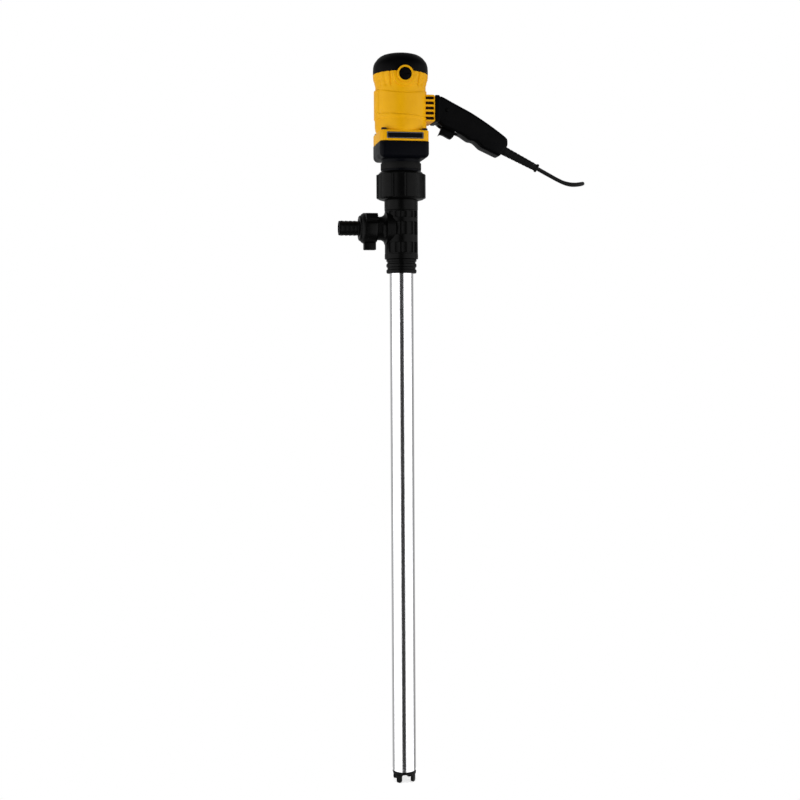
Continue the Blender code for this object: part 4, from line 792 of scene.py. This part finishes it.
# %% Corner screws
for index, (x, y) in enumerate(((-1, -1), (1, -1), (1, 1), (-1, 1))):
    screw = turned([(2.4, 200), (2.4, 222.3), (4.7, 222.3), (4.7, 225.3), (4.1, 226), (0.5, 226)],
                   40)
    carved(screw, turned([(2.2, 224), (2.2, 230)], 6))
    softened(screw, 0.15)
    screw.matrix_world = Matrix.Translation((36.2 * x * MM, 36.2 * y * MM, 0))
    only(screw)
    bpy.ops.object.transform_apply(location=True, rotation=True, scale=True)
    settled(screw, f"socket_screw_{index + 1}", black_oxide, "blackened_steel",
            f"nose_screw_{index + 1}")

# %% [markdown]
# ## Grip
#
# The grip is two nylon shells that part on its middle plane. Its outline is drawn once, with
# the finger hollows smoothed, and given a thickness with broadly rounded rims. It is then
# cut in two, and a shallow groove is left at the seam.

# %% Grip shells
TOP_LINE = [(80, 283), (88.7, 278.3), (106.9, 269.1), (125.2, 259.8), (143.6, 248.7), (162, 236.8),
            (180.5, 223.8), (190.4, 215.4)]
REAR_LINE = [(191.9, 209), (191.2, 201.8), (186.8, 195.9), (182.3, 189.9), (176.5, 184.2),
             (171.5, 185.2)]
UNDER_LINE = [(161.9, 189.5), (152.7, 193.7), (143.5, 198), (134.3, 206.3), (128.8, 209.4),
              (121.5, 210.8), (112.4, 216.4),
              (106.8, 220), (101.3, 222.2), (97, 223.8), (84, 229.2), (73, 233.8)]
corners = [(58.6, 287.1), (72, 286.7)] + TOP_LINE + REAR_LINE + UNDER_LINE + [(64, 240.8),
                                                                              (58.6, 240.8)]
smooth = [point.to_2d()
          for point in smooth_path([Vector((x, z, 0)) for x, z in corners[1:-1]], 2.5)]
outline = [corners[0]] + [tuple(point) for point in smooth] + [corners[-1]]
for side, name in ((-1, "front"), (1, "rear")):
    shell = outlined([outline], -17, 17, 5.5, upright=True)
    flange = block((9, 48, 46.7), (61.8, 0, 263.95))
    bevel_edges(flange, lambda a, b: abs(a.y - b.y) > 1, 2.4, 4)
    softened(flange, 1.2, 3, 50)
    shell = carved(shell, flange, operation="UNION")
    carved(shell, block((34.8, 13.4, 34), (84.9, 0, 229)))
    carved(shell,
           aimed(turned([(8.3, -16), (8.3, 30)], 48), BOOT_END - BOOT_START, BOOT_START / MM))
    if side < 0:
        carved(shell, aimed(turned([(3.8, 4), (3.8, 25)], 40), (0, -1, 0), (81, 0, 262.5)))
    else:
        for x, z in ((76, 275), (129, 224), (160, 224)):
            carved(shell, aimed(turned([(3.9, 13.4), (3.9, 25)], 32), (0, 1, 0), (x, 0, z)))
    only(shell)
    bpy.ops.object.mode_set(mode="EDIT")
    bpy.ops.mesh.select_all(action="SELECT")
    bpy.ops.mesh.bisect(plane_co=(0, side * 0.2 * MM, 0), plane_no=(0, -side, 0), use_fill=True,
                        clear_outer=True)
    bpy.ops.object.mode_set(mode="OBJECT")
    settled(shell, f"grip_shell_{name}", black_nylon, "black_nylon", f"handle_shell_{name}")

# %% [markdown]
# ## Trigger, lock button and grip screws

# %% Trigger
TRIGGER_LINE = [(66.7, 218.5), (69.4, 220.6), (72.2, 221.2), (77, 219.6), (83, 216.4),
                (87.2, 214.2), (90.3, 213.7), (93.4, 216.6),
                (95.9, 220), (100.6, 223.4), (101.2, 227), (98, 230.2), (76, 239.5), (73, 238.5),
                (72.2, 231), (69.6, 224.6)]
trigger = outlined([TRIGGER_LINE], -6, 6, 1.4, upright=True)
settled(trigger, "finger_trigger", black_nylon, "black_nylon", "trigger", body="trigger")

# %% Lock button
button = turned([(3.5, 10.2), (3.5, 18.4), (3.2, 18.9), (2.6, 19.2), (0.4, 19.2)], 48)
settled(aimed(button, (0, -1, 0), (81, 0, 262.5)), "lock_button_cap", black_nylon, "black_nylon",
        "lock_button", body="lock_button")

# %% Grip screws
for index, (x, z) in enumerate(((76, 275), (129, 224), (160, 224))):
    screw = turned([(1.8, -10), (1.8, 13.7), (3.6, 13.7), (3.6, 15), (2.9, 16), (0.4, 16.2)], 32)
    for turn in (0, 90):
        carved(screw,
               block((4, 0.9, 2.4), (0, 0, 16.2), Matrix.Rotation(math.radians(turn), 4, "Z")))
    settled(aimed(screw, (0, 1, 0), (x, 0, z)), f"grip_screw_{index + 1}", black_oxide,
            "blackened_steel", f"handle_screw_{index + 1}")

# %% [markdown]
# ## Cord boot
#
# The boot is soft rubber, thick at the grip and thin at the cord, so the cord cannot kink
# where it leaves. Grooves round it let it bend.

# %% Cord boot
length = (BOOT_END - BOOT_START).length / MM
profile = [(8.0, -8), (8.0, 3)]
for ridge in range(8):
    start = 5 + ridge * (length - 12) / 8
    radius = 8.0 - 1.6 * (start - 3) / (length - 12)
    profile += [(radius, start), (radius - 0.1, start + 4.8), (radius - 0.6, start + 5.3),
                (radius - 0.6, start + 6.5)]
profile += [(6.3, length - 4), (7.4, length - 3.6), (7.8, length - 3), (7.8, length - 1.1),
            (7.4, length - 0.6), (5.6, length - 0.5),
            (5.0, length), (3.8, length), (3.8, -8), (8.0, -8)]
boot = turned(profile, 64)
settled(aimed(boot, BOOT_END - BOOT_START, BOOT_START / MM), "ribbed_cord_boot", black_rubber,
        "black_rubber", "cord_boot")

# %% [markdown]
# ## Hank strap and plug
#
# A rubber strap binds the hank and the plug to the neck of the motor unit. Its loop is the
# tight outline round all three. The plug is a plain moulded one with two round pins.

# %% Strap
from mathutils.geometry import convex_hull_2d


def strap_loop(gap):
    """The tight loop round the neck, the hank and the plug, at a distance outside them."""
    points = [at(5 * step, 34 + gap).to_2d() for step in range(72)]
    corners = [(x, y) for x in (HANK_X - OUTER - 3.5, HANK_X + OUTER + 3.5) for y in (47.4, 62.6)]
    corners += [(PLUG_X + x, 77) for x in (-12, 12)]
    for x, y in corners:
        points += [Vector((x, y)) + at(30 * step, gap).to_2d() for step in range(12)]
    return [tuple(points[index]) for index in convex_hull_2d(points)]


strap = outlined([strap_loop(1.9), strap_loop(0.3)], 157.5, 168.5)
softened(strap, 0.35, 2, 50)
settled(strap, "rubber_strap", black_rubber, "black_rubber", "hank_strap")

# %% Plug
plug = block((26, 14, 36), (PLUG_X, PLUG_Y + 0.1, PLUG_LOW + 18))
bevel_edges(plug, lambda a, b: abs(a.z - b.z) > 1, 5.5, 6)
bevel_edges(plug, lambda a, b: max(a.z, b.z) < PLUG_LOW + 0.1, 3.4, 4)
softened(plug, 0.8, 3, 50)
relief_boot = turned([(3.8, PLUG_LOW - 9), (5.0, PLUG_LOW - 9), (5.4, PLUG_LOW + 2),
                      (3.8, PLUG_LOW + 2), (3.8, PLUG_LOW - 9)], 48)
relief_boot.matrix_world = Matrix.Translation((PLUG_X * MM, PLUG_Y * MM, 0))
only(relief_boot)
bpy.ops.object.transform_apply(location=True, rotation=True, scale=True)
plug = settled(joined(plug, relief_boot), "moulded_plug", black_rubber, "black_nylon", "plug_body")
for index, side in enumerate((-1, 1)):
    low = PLUG_LOW + 36.3
    pin = turned([(2.0, low), (2.0, low + 17.4), (1.7, low + 18.5), (0.9, low + 19),
                  (0.2, low + 19)], 32)
    pin.matrix_world = Matrix.Translation(((PLUG_X + 7 * side) * MM, PLUG_Y * MM, 0))
    only(pin)
    bpy.ops.object.transform_apply(location=True, rotation=True, scale=True)
    settled(pin, f"round_pin_{index + 1}", turned_brass, "brass",
                        f"plug_pin_{index + 1}")
cord.data.materials.append(cord_sheath)

# %% [markdown]
# ## Inner parts
#
# The parts inside keep their solids and get the finishes of what they are made of.

# %% Finishes of the inner parts
inside = {
    shaft_steel: ["inner_tube", "drive_shaft", "armature_shaft", "lower_bearing", "upper_bearing",
                  "trigger_pin",
                  "brush_spring_front", "brush_spring_rear"],
    black_oxide: ["motor_coupling", "pump_coupling"],
    lamination_steel: ["stator_core", "armature_core"],
    enamelled_copper: ["field_coil_left", "field_coil_right", "armature_winding", "commutator"],
    turned_brass: ["brush_holder_front", "brush_holder_rear"],
    pressed_carbon: ["carbon_brush_front", "carbon_brush_rear", "switch_body"],
    white_ptfe: ["shaft_bush_upper", "shaft_bush_lower"],
    black_rubber: ["shaft_seal", "union_gasket", "outlet_gasket"],
    black_polypropylene: ["impeller", "tube_guide", "cooling_fan", "cord_clamp"],
}
for material, nodes in inside.items():
    for node in nodes:
        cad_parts[node].data.materials.clear()
        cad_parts[node].data.materials.append(material)
print("inner parts finished:", sum(len(nodes) for nodes in inside.values()))

# %% [markdown]
# ## Floor, lights and surroundings
#
# The pump stands on a plain white floor. Tall soft lights on each side of the camera give
# the tube its long bright bands, and the dark gap between them is the thin dark line down
# its middle. The floor is small, so that the tube reflects the lights and not the floor.

# %% Floor
FLOOR_RADIUS, FLOOR_HEIGHT = 0.065, -0.9363
bpy.ops.mesh.primitive_circle_add(vertices=96, radius=FLOOR_RADIUS, location=(0, 0, FLOOR_HEIGHT),
                                  fill_type="NGON")
floor = bpy.context.object
floor.name = "studio_floor"
bpy.ops.object.transform_apply(location=True, rotation=True, scale=True)
made, tree, shader = finish("white_studio_paper", Roughness=0.9)
shader.inputs["Base Color"].default_value = linear("FAFAFA")
shader.inputs["Emission Color"].default_value = linear("FFFFFF")
shader.inputs["Emission Strength"].default_value = 0.6
floor.data.materials.append(made)


# %% Lights
def soft_light(name, azimuth, distance, height, width, tall, watts):
    """A rectangular light that faces the pump's axis at its own height."""
    data = bpy.data.lights.new(name, "AREA")
    data.shape, data.size, data.size_y, data.energy = "RECTANGLE", width, tall, watts
    light = bpy.data.objects.new(name, data)
    bpy.context.scene.collection.objects.link(light)
    place = at(azimuth, distance / MM, height / MM) * MM
    light.location = place
    light.rotation_mode = "QUATERNION"
    light.rotation_quaternion = (place - Vector((0, 0, height))).to_track_quat("Z", "Y")
    return light


VIEW_SIDE, DISTANCE, MIDDLE, TALL = -10, 1.7, -0.4, 2.8
for side, name in ((-1, "left"), (1, "right")):
    soft_light(f"{name}_front_softbox", VIEW_SIDE + 41.5 * side, DISTANCE, MIDDLE, 1.38, TALL, 19)
    soft_light(f"{name}_side_softbox", VIEW_SIDE + 85 * side, DISTANCE, MIDDLE, 1.4, TALL, 18)
soft_light("top_softbox", VIEW_SIDE, 1.6, 1.6, 1.2, 0.6, 3)

# %% [markdown]
# The room behind the camera is dark and the wall behind the pump is white. The world shows
# this as a blend along Y, so reflections get a dark front and a bright back. The camera
# itself sees plain white.

# %% Surroundings
world = bpy.data.worlds.new("white_studio")
bpy.context.scene.world = world
world.use_nodes = True
tree = world.node_tree
rays = add(tree, "ShaderNodeLightPath")
direction = add(tree, "ShaderNodeTexCoord")
parts = add(tree, "ShaderNodeSeparateXYZ", Vector=(direction, "Generated"))
room = add(tree, "ShaderNodeMapRange", Value=(parts, "Y"), From_Min=-0.5, From_Max=0.9, To_Min=0.03,
           To_Max=0.5)
seen = add(tree, "ShaderNodeMath", {"operation": "MAXIMUM"}, Value=(room, "Result"))
tree.links.new(rays.outputs["Is Camera Ray"], seen.inputs[1])
air = tree.nodes["Background"]
air.inputs["Color"].default_value = linear("FFFFFF")
tree.links.new(seen.outputs["Value"], air.inputs["Strength"])
bpy.context.scene.view_settings.view_transform = "Standard"

# %% Clearing the selection
bpy.ops.object.select_all(action="DESELECT")
bpy.context.view_layer.update()
